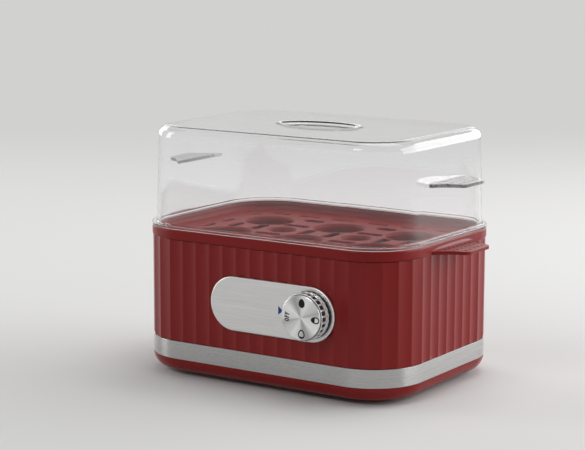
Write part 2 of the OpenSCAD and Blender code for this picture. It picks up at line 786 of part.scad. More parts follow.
// Rubber gland in the rear wall, where a supply cord comes in.
module cord_gland() color([0.06, 0.06, 0.06]) facing_rear(gland_x, 0, gland_z) difference() {
    union() {
        translate([0, 0, rear_y + snug]) cylinder(h = gland_cap, d = gland_flange);
        translate([0, 0, rear_y - body_wall - snug - gland_cap])
            cylinder(h = gland_cap, d = gland_flange);
        translate([0, 0, rear_y - body_wall - over])
            cylinder(h = body_wall + 2 * over, d = gland_neck);
    }
    translate([0, 0, rear_y - body_wall - gland_cap - over])
        cylinder(h = body_wall + 2 * gland_cap + 2 * over, d = gland_bore);
}

// ---------- egg tray ----------
seat_x = egg_pitch_x;
seat_y = egg_pitch_y / 2;
small_x = egg_pitch_x / 2 + 1;
seat_bevel = 1.4;
// Slots: place, length, width and turn, in the +X +Y quarter of the tray.
slots = [[12, 0, 22, 8, 90], [60, 0, 22, 8, 90], [83, 0, 20, 7, 90], [small_x, 22, 24, 7, 0],
    [small_x, 50, 18, 9, 0], [101, 14, 15, 4.5, 90], [18, 67, 20, 3.2, 0], [52, 67, 20, 3.2, 0],
    [81, 67, 18, 3.2, 0], [99, 53, 10, 3.5, -45]];

module each_seat() {
    for (x = [-seat_x, 0, seat_x], y = [-seat_y, seat_y]) translate([x, y, 0]) children();
}

module seat_collar(d) {
    translate([0, 0, z_floor - tray_t - collar_h])
        cylinder(h = tray_t + collar_h - 0.1, d = d + 2 * collar_t);
}

module seat_hole(d) {
    translate([0, 0, z_floor - tray_t - collar_h - over])
        cylinder(h = tray_t + collar_h + 2 * over, d = d);
    translate([0, 0, z_floor - seat_bevel]) cylinder(h = seat_bevel + 0.01, d1 = d, d2 = d + 2 * seat_bevel);
}

// Red tray: a rim that sits on the housing, a sunk floor with egg seats and steam slots, two tabs.
module egg_tray() color([0.46, 0.05, 0.05]) {
    rim_in = rim_reach - rim_t;
    skirt = inner_reach - tray_fit;
    difference() {
        union() {
            around() polygon([[0, z_floor - tray_t], [skirt, z_floor - tray_t], [skirt, z_rim],
                [rim_reach, z_rim], [rim_reach, z_rim_top], [rim_in, z_rim_top],
                [rim_in, z_floor + 3.5], [rim_in - 3.5, z_floor], [0, z_floor]]);
            translate([0, 0, z_floor - tray_t]) core(tray_t);
            each_seat() seat_collar(egg_d);
            for (x = [-small_x, small_x]) translate([x, 0, 0]) seat_collar(small_d);
        }
        each_seat() seat_hole(egg_d);
        for (x = [-small_x, small_x]) translate([x, 0, 0]) seat_hole(small_d);
        for (s = slots) for (mx = [0, 1], my = [0, 1]) if (s[1] > 0 || my == 0)
            mirror([mx, 0, 0]) mirror([0, my, 0]) translate([s[0], s[1], z_floor - tray_t - over])
                linear_extrude(tray_t + 2 * over) rotate(s[4]) stadium(s[2], s[3]);
    }
    both_tabs(core_x + rim_reach, z_rim, rim_t / 2);
}

// ---------- lid ----------
lid_reach = rim_reach - flange_out;
lid_top_reach = lid_reach - lid_taper;
z_lid_tab = z_rim_top + lid_tab_z;
tab_lean = lid_taper * (lid_tab_z + tab_t) / lid_h;

// Clear domed lid with a flange, a locating lip, two tabs and a dished top with two vents.
module lid() color([0.85, 0.85, 0.87, 0.35]) {
    difference() {
        union() {
            translate([0, 0, z_lid]) dome(lid_reach, lid_top_reach, lid_h, lid_edge_r);
            ring(lid_reach - lid_t, rim_reach, z_lid, flange_t);
            ring(lid_reach - lid_t, lid_reach, z_lid - lip_drop, lip_drop + over);
        }
        difference() {
            translate([0, 0, z_lid]) union() {
                dome(lid_reach - lid_t, lid_top_reach - lid_t, lid_h - lid_t, lid_edge_r - lid_t);
                translate([0, 0, -over]) linear_extrude(2 * over) outline(lid_reach - lid_t);
            }
            translate([0, 0, z_lid + lid_h - lid_t - dish_depth])
                linear_extrude(lid_t + dish_depth) stadium(dish_l + 2 * lid_t, dish_w + 2 * lid_t);
        }
        translate([0, 0, z_lid + lid_h - dish_depth])
            linear_extrude(dish_depth + over) stadium(dish_l, dish_w);
        for (s = [-1, 1]) translate([s * vent_pitch / 2, 0, z_lid + lid_h - lid_t - dish_depth - over])
            cylinder(h = lid_t + dish_depth + 2 * over, d = vent_d);
    }
    both_tabs(core_x + lid_reach - tab_lean, z_lid_tab, lid_t / 2);
}

base_tub();
rubber_feet();
steel_band();
fluted_housing();
water_pan();
pan_gasket();
heater_plate();
heating_element();
element_terminals();
thermostat();
thermostat_bracket();
thermal_fuse();
fuse_clip();
heat_shield();
shield_nuts();
control_plate();
plate_clips();
pointer_mark();
rotary_switch();
switch_nut();
terminal_block();
block_screws();
live_wires();
neutral_wire();
earth_wire();
cord_gland();
base_screws();
switch_shaft();
knob_grip();
knob_face();
shaft_clip();
egg_tray();
lid();
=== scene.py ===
import math
import bpy
import bmesh
from mathutils import Matrix, Vector
from mathutils.geometry import delaunay_2d_cdt


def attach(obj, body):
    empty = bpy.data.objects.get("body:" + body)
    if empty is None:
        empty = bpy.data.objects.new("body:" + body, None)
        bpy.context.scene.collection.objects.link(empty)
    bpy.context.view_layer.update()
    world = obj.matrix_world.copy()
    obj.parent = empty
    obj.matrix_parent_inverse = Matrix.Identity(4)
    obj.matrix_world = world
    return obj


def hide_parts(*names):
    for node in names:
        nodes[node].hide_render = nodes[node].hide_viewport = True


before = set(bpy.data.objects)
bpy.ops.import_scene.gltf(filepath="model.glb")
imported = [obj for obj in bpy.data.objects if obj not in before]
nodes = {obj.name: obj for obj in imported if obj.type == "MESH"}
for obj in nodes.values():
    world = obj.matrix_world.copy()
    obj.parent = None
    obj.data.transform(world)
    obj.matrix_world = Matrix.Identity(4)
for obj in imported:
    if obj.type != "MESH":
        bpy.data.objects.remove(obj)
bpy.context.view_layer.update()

# The camera stands in front and to the right, a little above the lid, with a long lens.
# It shows the control plate's side, the right end and a little of the lid's top.
azimuth = math.radians(33.228)
elevation = math.radians(9.709)
roll = math.radians(0.183)
camera_place = (0.8177, -1.2818, 0.3815)
level_share = math.cos(elevation)
back = Vector((math.sin(azimuth) * level_share, -math.cos(azimuth) * level_share, math.sin(elevation)))
right = Vector((math.cos(azimuth), math.sin(azimuth), 0))
up = back.cross(right)
right_rolled = right * math.cos(roll) + up * math.sin(roll)
up_rolled = up * math.cos(roll) - right * math.sin(roll)
view_data = bpy.data.cameras.new("view")
view_data.sensor_width = 36
view_data.sensor_fit = "HORIZONTAL"
view_data.lens = 114.82
view_data.shift_x = -0.0071
view_data.clip_start = 0.05
view_data.clip_end = 60
view_camera = bpy.data.objects.new("view", view_data)
bpy.context.collection.objects.link(view_camera)
turn = Matrix((right_rolled, up_rolled, back)).transposed().to_4x4()
view_camera.matrix_world = Matrix.Translation(camera_place) @ turn
bpy.context.scene.camera = view_camera
bpy.context.scene.view_settings.view_transform = "Standard"

# The studio is a plain pale floor that fades into an even pale backdrop, with soft boxes for lamps.
# The floor is a matt sheet, so the cooker's shadow stays soft and its foot picks up little of it.
floor_half = 6
fade_start = 0.45
fade_end = 1.9
floor_mesh = bpy.data.meshes.new("floor")
floor_corners = [(floor_half * x, floor_half * y, 0) for x, y in ((-1, -1), (1, -1), (1, 1), (-1, 1))]
floor_mesh.from_pydata(floor_corners, [], [(0, 1, 2, 3)])
studio_floor = bpy.data.objects.new("studio_floor", floor_mesh)
bpy.context.collection.objects.link(studio_floor)


def new_material(name):
    """A node material, with its tree and its Principled shader."""
    paint = bpy.data.materials.new(name)
    paint.use_nodes = True
    return paint, paint.node_tree, paint.node_tree.nodes["Principled BSDF"]


def feed(tree, node, inputs):
    """Join another node's output to each input, or set a plain value on it."""
    for socket, value in inputs.items():
        if isinstance(value, bpy.types.NodeSocket):
            tree.links.new(value, node.inputs[socket])
        else:
            node.inputs[socket].default_value = value


def add_node(tree, kind, inputs, operation=None):
    """A new node with its inputs fed."""
    node = tree.nodes.new("ShaderNode" + kind)
    if operation:
        node.operation = operation
    feed(tree, node, inputs)
    return node


def mix_colours(tree, share, one, two):
    """Output that goes from colour one to colour two as the share goes from 0 to 1."""
    mix = tree.nodes.new("ShaderNodeMix")
    mix.data_type = "RGBA"
    feed(tree, mix, {"Factor": share, "A": one, "B": two})
    return mix.outputs["Result"]


floor_paint, floor_tree, floor_shader = new_material("studio_floor")
feed(floor_tree, floor_shader, {
    "Base Color": (0.64, 0.636, 0.63, 1),
    "Roughness": 0.9,
    "Specular IOR Level": 0.0,
})
floor_place = add_node(floor_tree, "TexCoord", {})
floor_length = add_node(floor_tree, "VectorMath", {0: floor_place.outputs["Object"]}, "LENGTH")
floor_fade = add_node(floor_tree, "MapRange", {
    "Value": floor_length.outputs["Value"],
    "From Min": fade_start,
    "From Max": fade_end,
})
floor_fade.interpolation_type = "SMOOTHSTEP"
floor_air = add_node(floor_tree, "BsdfTransparent", {})
floor_blend = add_node(floor_tree, "MixShader", {
    0: floor_fade.outputs[0],
    1: floor_shader.outputs[0],
    2: floor_air.outputs[0],
})
feed(floor_tree, floor_tree.nodes["Material Output"], {"Surface": floor_blend.outputs[0]})
floor_mesh.materials.append(floor_paint)

sky_light = (0.30, 0.30, 0.305, 1)
sky_seen_colour = (0.64, 0.637, 0.63, 1)
sky = bpy.data.worlds.new("sky")
sky.use_nodes = True
bpy.context.scene.world = sky
sky_tree = sky.node_tree
sky_rays = add_node(sky_tree, "LightPath", {})
sky_gloss = add_node(sky_tree, "Math", {
    0: sky_rays.outputs["Is Glossy Ray"],
    1: sky_rays.outputs["Is Transmission Ray"],
}, "MAXIMUM")
sky_seen = add_node(sky_tree, "Math", {
    0: sky_rays.outputs["Is Camera Ray"],
    1: sky_gloss.outputs[0],
}, "MAXIMUM")
feed(sky_tree, sky_tree.nodes["Background"], {
    "Strength": 1.0,
    "Color": mix_colours(sky_tree, sky_seen.outputs[0], sky_light, sky_seen_colour),
})


def soft_box(name, place, aim, width, height, power):
    """A rectangular lamp that faces its aim, kept out of what shows through clear plastic."""
    lamp = bpy.data.lights.new(name, "AREA")
    lamp.shape = "RECTANGLE"
    lamp.size = width
    lamp.size_y = height
    lamp.energy = power
    lamp_object = bpy.data.objects.new(name, lamp)
    bpy.context.collection.objects.link(lamp_object)
    lamp_object.location = place
    lamp_object.rotation_euler = (Vector(aim) - Vector(place)).to_track_quat("-Z", "Y").to_euler()
    lamp_object.visible_transmission = False


soft_box("right_box", (1.5, 1.3, 0.76), (0, 0, 0.25), 2.8, 1.5, 50)
soft_box("top_box", (0.1, 0.5, 2.2), (0, 0, 0.15), 1.6, 1.4, 18)
soft_box("back_box", (-1.65, 2.5, 1.15), (0, 0, 0.2), 2.0, 1.1, 6)
soft_box("front_box", (-0.35, -2.3, 1.7), (0, 0, 0.08), 0.9, 0.7, 13)
soft_box("left_strip", (-1.75, -0.75, 0.62), (0, 0, 0.15), 0.5, 1.2, 9)
soft_box("left_edge_box", (-1.82, 0.70, 0.60), (0, 0, 0.18), 0.9, 1.15, 9)
soft_box("right_edge_box", (0.105, 2.0, 0.60), (0, 0, 0.18), 0.9, 1.15, 9)

# The base is a tub moulded in deep red plastic, with a standing rim and vents underneath.
# It is polished in the mould, so it is smooth, with a very faint flow and a fine ripple in its skin.
flow_scale = 14
skin_scale = 420
skin_rough_span = 0.06
moulded_bump = 0.08
moulded_relief = 0.0002


def new_group(name, inputs, outputs):
    """A shader node group with named sockets, and its inlet and outlet nodes."""
    group = bpy.data.node_groups.new(name, "ShaderNodeTree")
    for in_out, sockets in (("INPUT", inputs), ("OUTPUT", outputs)):
        for socket_name, socket_kind in sockets:
            group.interface.new_socket(socket_name, in_out=in_out, socket_type="NodeSocket" + socket_kind)
    return group, group.nodes.new("NodeGroupInput"), group.nodes.new("NodeGroupOutput")


def vary_colour(tree, colour, noise, contrast):
    """Output of the colour made lighter and darker by the noise."""
    shift = add_node(tree, "Math", {0: noise, 1: 0.5}, "SUBTRACT")
    share = add_node(tree, "Math", {0: shift.outputs[0], 1: contrast, 2: 1.0}, "MULTIPLY_ADD")
    return add_node(tree, "VectorMath", {0: colour, "Scale": share.outputs[0]}, "SCALE").outputs[0]


moulded, moulded_in, moulded_out = new_group(
    "moulded_surface",
    (("Colour", "Color"), ("Flow", "Float"), ("Roughness", "Float"), ("Ripple", "Float")),
    (("Colour", "Color"), ("Roughness", "Float"), ("Height", "Float")),
)
moulded_place = add_node(moulded, "TexCoord", {})
flow_noise = add_node(moulded, "TexNoise", {
    "Vector": moulded_place.outputs["Object"],
    "Scale": flow_scale,
    "Detail": 3,
})
skin_noise = add_node(moulded, "TexNoise", {
    "Vector": moulded_place.outputs["Object"],
    "Scale": skin_scale,
    "Detail": 2,
})
skin_rough = add_node(moulded, "Math", {
    0: skin_noise.outputs["Fac"],
    1: skin_rough_span,
    2: moulded_in.outputs["Roughness"],
}, "MULTIPLY_ADD")
skin_height = add_node(moulded, "Math", {
    0: skin_noise.outputs["Fac"],
    1: moulded_in.outputs["Ripple"],
}, "MULTIPLY")
feed(moulded, moulded_out, {
    "Colour": vary_colour(
        moulded, moulded_in.outputs["Colour"], flow_noise.outputs["Fac"], moulded_in.outputs["Flow"]
    ),
    "Roughness": skin_rough.outputs[0],
    "Height": skin_height.outputs[0],
})


def add_surface(tree, group, inputs):
    """A surface group placed in a material with its own values."""
    surface = tree.nodes.new("ShaderNodeGroup")
    surface.node_tree = group
    feed(tree, surface, inputs)
    return surface


def coat_shader(tree, shader, surface, strength, relief):
    """Join a surface's colour, roughness and height to the shader."""
    bump = add_node(tree, "Bump", {
        "Strength": strength,
        "Distance": relief,
        "Height": surface.outputs["Height"],
    })
    feed(tree, shader, {
        "Base Color": surface.outputs["Colour"],
        "Roughness": surface.outputs["Roughness"],
        "Normal": bump.outputs["Normal"],
    })


def moulded_plastic(name, colour, roughness, flow=0.12, ripple=0.3, specular=0.5):
    """Moulded plastic, with the faint clouds of its flow and a fine ripple."""
    paint, tree, shader = new_material(name)
    shader.inputs["Specular IOR Level"].default_value = specular
    surface = add_surface(tree, moulded, {
        "Colour": (*colour, 1),
        "Flow": flow,
        "Roughness": roughness,
        "Ripple": ripple,
    })
    coat_shader(tree, shader, surface, moulded_bump, moulded_relief)
    return paint


def finish_node(name, paint):
    """Give a node that stays as it is its material."""
    node = nodes[name]
    if not node.material_slots:
        node.data.materials.append(paint)
    for place in node.material_slots:
        place.material = paint


base_red = moulded_plastic("base_red", (0.190, 0.0034, 0.0028), 0.22, ripple=0.05, specular=0.28)
finish_node("base_tub", base_red)

# The housing is one red moulding with shallow flutes all round, and a ledge inside for the pan.
# The ridges between the flutes are softened, so that each one catches a thin line of light.
mm = 0.001
core_x = 80
core_y = 46.5
corner_r = 45
flute_count = 60
flute_depth = 1.0
flute_steps = (0, 0.25, 0.55, 1.2, 2.6, 4.4)
ridge_soft = 0.55
corner_run = corner_r * math.pi / 2
quarter_run = core_x + core_y + corner_run
pitch = quarter_run * 4 / flute_count


def station(run):
    """Core point and outward direction at a run round the outline, from the middle of the right side."""
    run = run % (4 * quarter_run)
    quarter, s = divmod(run, quarter_run)
    quarter = int(quarter)
    if quarter % 2 == 1:
        s = quarter_run - s
    if s < core_y:
        x, y, angle = core_x, s, 0.0
    elif s < core_y + corner_run:
        x, y, angle = core_x, core_y, (s - core_y) / corner_r
    else:
        x, y, angle = core_x - (s - core_y - corner_run), core_y, math.pi / 2
    dx, dy = math.cos(angle), math.sin(angle)
    sx = 1 if quarter in (0, 3) else -1
    sy = 1 if quarter in (0, 1) else -1
    return (x * sx, y * sy, dx * sx, dy * sy)


def outline_points(stations, reach, z):
    """Ring of the cooker's rounded outline, at a reach beyond its core."""
    return [(x + dx * reach, y + dy * reach, z) for x, y, dx, dy in stations]


def place_piece(name, mesh, paint, body, sharp, flatness):
    """Piece of a mesh, smooth up to the sharp angle, whose big faces keep their own normals."""
    mesh.shade_smooth()
    mesh.set_sharp_from_angle(angle=math.radians(sharp))
    mesh.materials.append(paint)
    piece = bpy.data.objects.new(name, mesh)
    bpy.context.collection.objects.link(piece)
    if flatness:
        flats = piece.modifiers.new("flats", "WEIGHTED_NORMAL")
        flats.keep_sharp = True
        flats.weight = flatness
    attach(piece, body)
    return piece


def piece_from(name, points, faces, paint, body, sharp=35, flatness=90):
    """Piece from points in millimetres and the faces between them."""
    mesh = bpy.data.meshes.new(name)
    mesh.from_pydata([(x * mm, y * mm, z * mm) for x, y, z in points], [], faces)
    mesh.validate()
    skin = bmesh.new()
    skin.from_mesh(mesh)
    bmesh.ops.recalc_face_normals(skin, faces=skin.faces)
    skin.to_mesh(mesh)
    skin.free()
    return place_piece(name, mesh, paint, body, sharp, flatness)


def loft(rings, closed=False, capped=False):
    """Points and faces of a skin through rings that all have the same number of points."""
    count = len(rings[0])
    points = [p for ring in rings for p in ring]
    faces = []
    last = len(rings) if closed else len(rings) - 1
    for k in range(last):
        a, b = k * count, (k + 1) % len(rings) * count
        for i in range(count):
            j = (i + 1) % count
            faces.append((a + i, a + j, b + j, b + i))
    if capped:
        faces.append(tuple(range(count - 1, -1, -1)))
        faces.append(tuple(range(count * last, count * (last + 1))))
    return points, faces


flute_runs = []
for index in range(flute_count):
    middle = index * pitch
    for step in flute_steps:
        flute_runs.append((middle - pitch / 2 + step, step))
    flute_runs.append((middle, pitch / 2))
    for step in reversed(flute_steps[1:]):
        flute_runs.append((middle + pitch / 2 - step, step))
flute_stations = [station(run) for run, _ in flute_runs]


def flute_cut(step):
    """Depth of the flute at a distance from its nearest ridge, with the ridge's crest rounded."""
    across = 1 - 2 * step / pitch
    if step >= ridge_soft:
        return flute_depth * (1 - across * across)
    edge = 1 - 2 * ridge_soft / pitch
    slope = 4 * flute_depth * edge / pitch
    return flute_depth * (1 - edge * edge) - slope / (2 * ridge_soft) * (ridge_soft**2 - step**2)


def fluted_ring(reach, z, share):
    """Ring of the housing, with its flutes cut to a share of their depth."""
    ring = []
    for (x, y, dx, dy), (_, step) in zip(flute_stations, flute_runs):
        r = reach - flute_cut(step) * share
        ring.append((x + dx * r, y + dy * r, z))
    return ring


# Each row is a reach beyond the core, a height, and the share of the flutes.
housing_profile = (
    (41.4, 15.5, 0), (43.95, 15.5, 0), (43.95, 30.5, 0), (44.75, 30.5, 1), (45.0, 30.8, 1),
    (45.0, 60.0, 1), (45.0, 90.0, 1), (45.0, 113.7, 1), (44.8, 114.1, 1), (44.4, 114.2, 0.9),
    (41.7, 114.2, 0), (41.4, 113.9, 0), (41.4, 103.5, 0), (31.3, 103.5, 0), (31.0, 103.2, 0),
    (31.0, 101.0, 0), (41.4, 101.0, 0),
)
housing_rings = [fluted_ring(reach, z, share) for reach, z, share in housing_profile]
housing_red = moulded_plastic("housing_red", (0.190, 0.0034, 0.0028), 0.30, ripple=0.1, specular=0.28)
housing = piece_from("fluted_shell", *loft(housing_rings, closed=True), housing_red, "base")
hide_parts("fluted_housing")

# The trim band is a strip of stainless steel, brushed along its length and bent round the foot.
# Its two edges are rolled a little, which leaves a dark line above and below it.
band_count = 480
brush_rough_span = 0.12
brushed_bump = 0.12
brushed_relief = 0.0001
quarter_turn = 0.25
brushed, brushed_in, brushed_out = new_group(
    "brushed_grain",
    (("Colour", "Color"), ("Stretch", "Vector"), ("Contrast", "Float"), ("Roughness", "Float")),
    (("Colour", "Color"), ("Roughness", "Float"), ("Height", "Float")),
)
brushed_place = add_node(brushed, "TexCoord", {})
brushed_stretch = add_node(brushed, "VectorMath", {
    0: brushed_place.outputs["Object"],
    1: brushed_in.outputs["Stretch"],
}, "MULTIPLY")
brush_noise = add_node(brushed, "TexNoise", {
    "Vector": brushed_stretch.outputs[0],
    "Scale": 1.0,
    "Detail": 4,
    "Roughness": 0.7,
})
brush_rough = add_node(brushed, "Math", {
    0: brush_noise.outputs["Fac"],
    1: brush_rough_span,
    2: brushed_in.outputs["Roughness"],
}, "MULTIPLY_ADD")
feed(brushed, brushed_out, {
    "Colour": vary_colour(
        brushed, brushed_in.outputs["Colour"], brush_noise.outputs["Fac"], brushed_in.outputs["Contrast"]
    ),
    "Roughness": brush_rough.outputs[0],
    "Height": brush_noise.outputs["Fac"],
})


def brushed_metal(name, colour, stretch, roughness, contrast=0.35, across=0.0):
    """Metal with drawn-out grain: a large stretch along an axis packs the marks closely across it."""
    paint, tree, shader = new_material(name)
    shader.inputs["Metallic"].default_value = 1.0
    shader.inputs["Anisotropic"].default_value = across
    shader.inputs["Anisotropic Rotation"].default_value = quarter_turn if across else 0.0
    grain = add_surface(tree, brushed, {
        "Colour": (*colour, 1),
        "Stretch": stretch,
        "Contrast": contrast,
        "Roughness": roughness,
    })
    coat_shader(tree, shader, grain, brushed_bump, brushed_relief)
    return paint


band_stations = [station(quarter_run * 4 * i / band_count) for i in range(band_count)]
# Each pair is a reach beyond the core and a height.
band_profile = (
    (44.1, 15.5), (44.7, 15.5), (44.93, 15.6), (45.0, 15.9),
    (45.0, 30.0), (44.93, 30.3), (44.7, 30.4), (44.1, 30.4),
)
band_rings = [outline_points(band_stations, reach, z) for reach, z in band_profile]
band_steel = brushed_metal(
    "band_steel", (0.44, 0.44, 0.435), (14, 14, 2600), 0.22, contrast=0.3, across=0.8
)
band = piece_from("trim_band", *loft(band_rings, closed=True), band_steel, "base")
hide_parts("steel_band")

# The control plate is a stadium of brushed steel with a bright turned bevel, let into the flutes.
# It is brushed along its length, and bare apart from the blue pointer beside the knob.
plate_x = 15.5
plate_z = 69
plate_half = 36.5
end_count = 64


def stadium_ring(r, y):
    """Ring of the plate's outline, with ends of radius r."""
    ring = []
    for side in (1, -1):
        for i in range(end_count):
            angle = math.pi * (i + 0.5) / end_count - math.pi / 2 * side
            end_x = plate_x + plate_half * side
            ring.append((end_x + r * math.cos(angle), y, plate_z + r * math.sin(angle)))
    return ring


# Each pair is an end radius and a place from back to front.
plate_profile = (
    (22.0, -91.55), (22.0, -92.95), (21.92, -93.25), (21.7, -93.5),
    (21.4, -93.66), (21.0, -93.75), (20.6, -93.75),
)
plate_rings = [stadium_ring(r, y) for r, y in plate_profile]
panel_steel = brushed_metal(
    "panel_steel", (0.70, 0.70, 0.69), (22, 2800, 2800), 0.28, contrast=0.55, across=0.7
)
panel = piece_from("control_panel", *loft(plate_rings, capped=True), panel_steel, "base", sharp=40)
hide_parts("control_plate")

pointer_blue = moulded_plastic("pointer_blue", (0.006, 0.035, 0.20), 0.45, specular=0.3)
finish_node("pointer_mark", pointer_blue)

# The knob is a moulded grip with open grooves, with satin chrome on its rib crests.
# Its ribs are rounded and bright; the grooves between them and a ring at its back are painted black, a
# painted shade where the grooves and the gap behind the knob are dark.
knob_x = 52
knob_z = 69
groove_count = 24
groove_deep = 1.5
grip_steps = 16
rib_share = (0, 0, 0, 0, 0, 0.20, 0.92, 1, 1, 1, 0.92, 0.20, 0, 0, 0, 0)
crest_start = 17.9
crest_end = 18.5
back_shade_end_y = -95.2
chrome_share = 0.5
grip_painted_shade = (0.012, 0.012, 0.013, 1)


def knob_ring(r, y, share):
    """Ring of the grip's outside: share sets how far the grooves cut in."""
    ring = []
    for i in range(groove_count * grip_steps):
        radius = r - groove_deep * share * (1 - rib_share[i % grip_steps])
        angle = 2 * math.pi * i / (groove_count * grip_steps)
        ring.append((knob_x + radius * math.cos(angle), y, knob_z + radius * math.sin(angle)))
    return ring


def off_axis(tree, place):
    """Outputs of the way from the knob's axis to a point, square to the axis, and of its length."""
    axis = (knob_x * mm, 0, knob_z * mm)
    centred = add_node(tree, "VectorMath", {0: place, 1: axis}, "SUBTRACT")
    away = add_node(tree, "VectorMath", {0: centred.outputs[0], 1: (1, 0, 1)}, "MULTIPLY")
    length = add_node(tree, "VectorMath", {0: away.outputs[0]}, "LENGTH")
    return away.outputs[0], length.outputs["Value"]


# Each row is a radius, a place from back to front, and the share of the grooves.
grip_profile = (
    (11.2, -94.6, 0), (18.7, -94.5, 0), (19.0, -94.7, 0), (19.0, -95.1, 0), (18.5, -95.2, 0.7),
    (18.5, -95.8, 0.7), (18.9, -96.1, 0.15), (18.95, -96.5, 0.12), (18.95, -99.0, 0.12),
    (19.0, -99.5, 0.8), (19.0, -99.9, 1), (19.0, -102.2, 1), (19.0, -104.5, 1), (19.0, -104.9, 0.6),
    (18.85, -105.15, 0.1), (18.4, -105.5, 0), (17.5, -105.7, 0), (9.3, -105.7, 0),
)
grip_rings = [knob_ring(r, y, share) for r, y, share in grip_profile]
grip_paint, grip_tree, grip_shader = new_material("knob_grip_chrome")
grip_place = add_node(grip_tree, "TexCoord", {})
_, grip_length = off_axis(grip_tree, grip_place.outputs["Object"])
grip_depth = add_node(grip_tree, "MapRange", {
    "Value": grip_length,
    "From Min": crest_start * mm,
    "From Max": crest_end * mm,
})
# In the grooves and at the back ring the colour turns black: painted shade in the grooves and in the gap
# behind the knob.
grip_split = add_node(grip_tree, "SeparateXYZ", {0: grip_place.outputs["Object"]})
grip_front = add_node(grip_tree, "Math", {0: grip_split.outputs["Y"], 1: back_shade_end_y * mm}, "LESS_THAN")
grip_crest = add_node(grip_tree, "Math", {0: grip_depth.outputs[0], 1: grip_front.outputs[0]}, "MULTIPLY")
grip_plate = add_node(grip_tree, "Math", {0: grip_crest.outputs[0], 1: chrome_share}, "MULTIPLY")
grip_grain = add_surface(grip_tree, brushed, {
    "Colour": (0.74, 0.74, 0.745, 1),
    "Stretch": (1200, 60, 1200),
    "Contrast": 0.2,
    "Roughness": 0.26,
})
feed(grip_tree, grip_shader, {
    "Base Color": mix_colours(grip_tree, grip_crest.outputs[0], grip_painted_shade, grip_grain.outputs["Colour"]),
    "Metallic": grip_plate.outputs[0],
    "Roughness": grip_grain.outputs["Roughness"],
})
grip = piece_from("knob_ribs", *loft(grip_rings, closed=True), grip_paint, "knob", sharp=50)
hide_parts("knob_grip")

# The knob's face is a metal disc, spun so that its brush marks run in rings.
# The rings spread each light into bright fans that meet in the middle, and the disc's colour adds painted
# fans on top: a painted highlight and painted shade that change with the angle round the disc and turn with
# the knob.
face_count = 160
face_middle_y = -107.12
ring_scale = 5200
ring_share = 0.22
# The disc's colour runs between a painted shade and a painted highlight.
spun_painted_shade = (0.27, 0.27, 0.27, 1)
spun_painted_highlight = (0.97, 0.97, 0.97, 1)
# Each pair is a share of half a turn round the disc and how bright the painted fans make it there.
painted_fan_stops = (
    (0.0, 0.92), (0.05, 0.75), (0.094, 0.22), (0.14, 0.55), (0.22, 0.80), (0.36, 0.66), (0.44, 0.72),
    (0.467, 1.0), (0.50, 0.58), (0.56, 0.30), (0.63, 0.0), (0.70, 0.30), (0.78, 0.75), (0.90, 0.92),
    (1.0, 0.92),
)


def face_ring(r, y):
    """Ring of the disc, round the knob's axis."""
    turns = [2 * math.pi * i / face_count for i in range(face_count)]
    return [(knob_x + r * math.cos(turn), y, knob_z + r * math.sin(turn)) for turn in turns]


# Each pair is a radius and a place from back to front.
face_profile = (
    (9.0, -105.72), (17.4, -105.72), (17.65, -105.85), (17.7, -106.1), (17.7, -106.75), (17.6, -107.0),
    (17.35, -107.17), (17.0, -107.2), (12.0, -107.18), (7.0, -107.15), (3.0, -107.13), (1.0, face_middle_y),
)
face_points, face_faces = loft([face_ring(r, y) for r, y in face_profile])
face_faces.append(tuple(range(face_count - 1, -1, -1)))
face_tip = len(face_points)
face_points.append((knob_x, face_middle_y, knob_z))
last_ring = face_count * (len(face_profile) - 1)
for i in range(face_count):
    face_faces.append((last_ring + i, last_ring + (i + 1) % face_count, face_tip))
spun, spun_tree, spun_shader = new_material("spun_face")
spun_place = add_node(spun_tree, "TexCoord", {})
spun_away, spun_length = off_axis(spun_tree, spun_place.outputs["Object"])
spun_rings = add_node(spun_tree, "TexNoise", {"Scale": ring_scale, "Detail": 2})
spun_rings.noise_dimensions = "1D"
feed(spun_tree, spun_rings, {"W": spun_length})
spun_split = add_node(spun_tree, "SeparateXYZ", {0: spun_away})
spun_turn = add_node(spun_tree, "Math", {0: spun_split.outputs["Z"], 1: spun_split.outputs["X"]}, "ARCTAN2")
spun_half = add_node(spun_tree, "Math", {0: spun_turn.outputs[0], 1: math.pi}, "DIVIDE")
spun_part = add_node(spun_tree, "Math", {0: spun_half.outputs[0]}, "FRACT")
# The painted fans: colour lighter and darker by the angle round the knob, a painted highlight and painted
# shade.
painted_fans = add_node(spun_tree, "ValToRGB", {0: spun_part.outputs[0]})
painted_fans.color_ramp.interpolation = "B_SPLINE"
painted_fan_entries = painted_fans.color_ramp.elements
painted_fan_entries.remove(painted_fan_entries[1])
for index, (stop, bright) in enumerate(painted_fan_stops):
    entry = painted_fan_entries[0] if index == 0 else painted_fan_entries.new(stop)
    entry.position = stop
    entry.color = (bright, bright, bright, 1)
spun_grain_and_painted_fans = add_node(spun_tree, "Mix", {
    "Factor": ring_share,
    "A": painted_fans.outputs["Color"],
    "B": spun_rings.outputs["Fac"],
})
spun_rough = add_node(spun_tree, "MapRange", {
    "Value": spun_rings.outputs["Fac"],
    "To Min": 0.26,
    "To Max": 0.36,
})
spun_unit = add_node(spun_tree, "VectorMath", {0: spun_away}, "NORMALIZE")
feed(spun_tree, spun_shader, {
    "Metallic": 1.0,
    "Anisotropic": 0.95,
    "Base Color": mix_colours(spun_tree, spun_grain_and_painted_fans.outputs["Result"], spun_painted_shade, spun_painted_highlight),
    "Roughness": spun_rough.outputs[0],
    "Tangent": spun_unit.outputs[0],
})
face = piece_from("knob_disc", face_points, face_faces, spun, "knob")
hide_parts("knob_face")

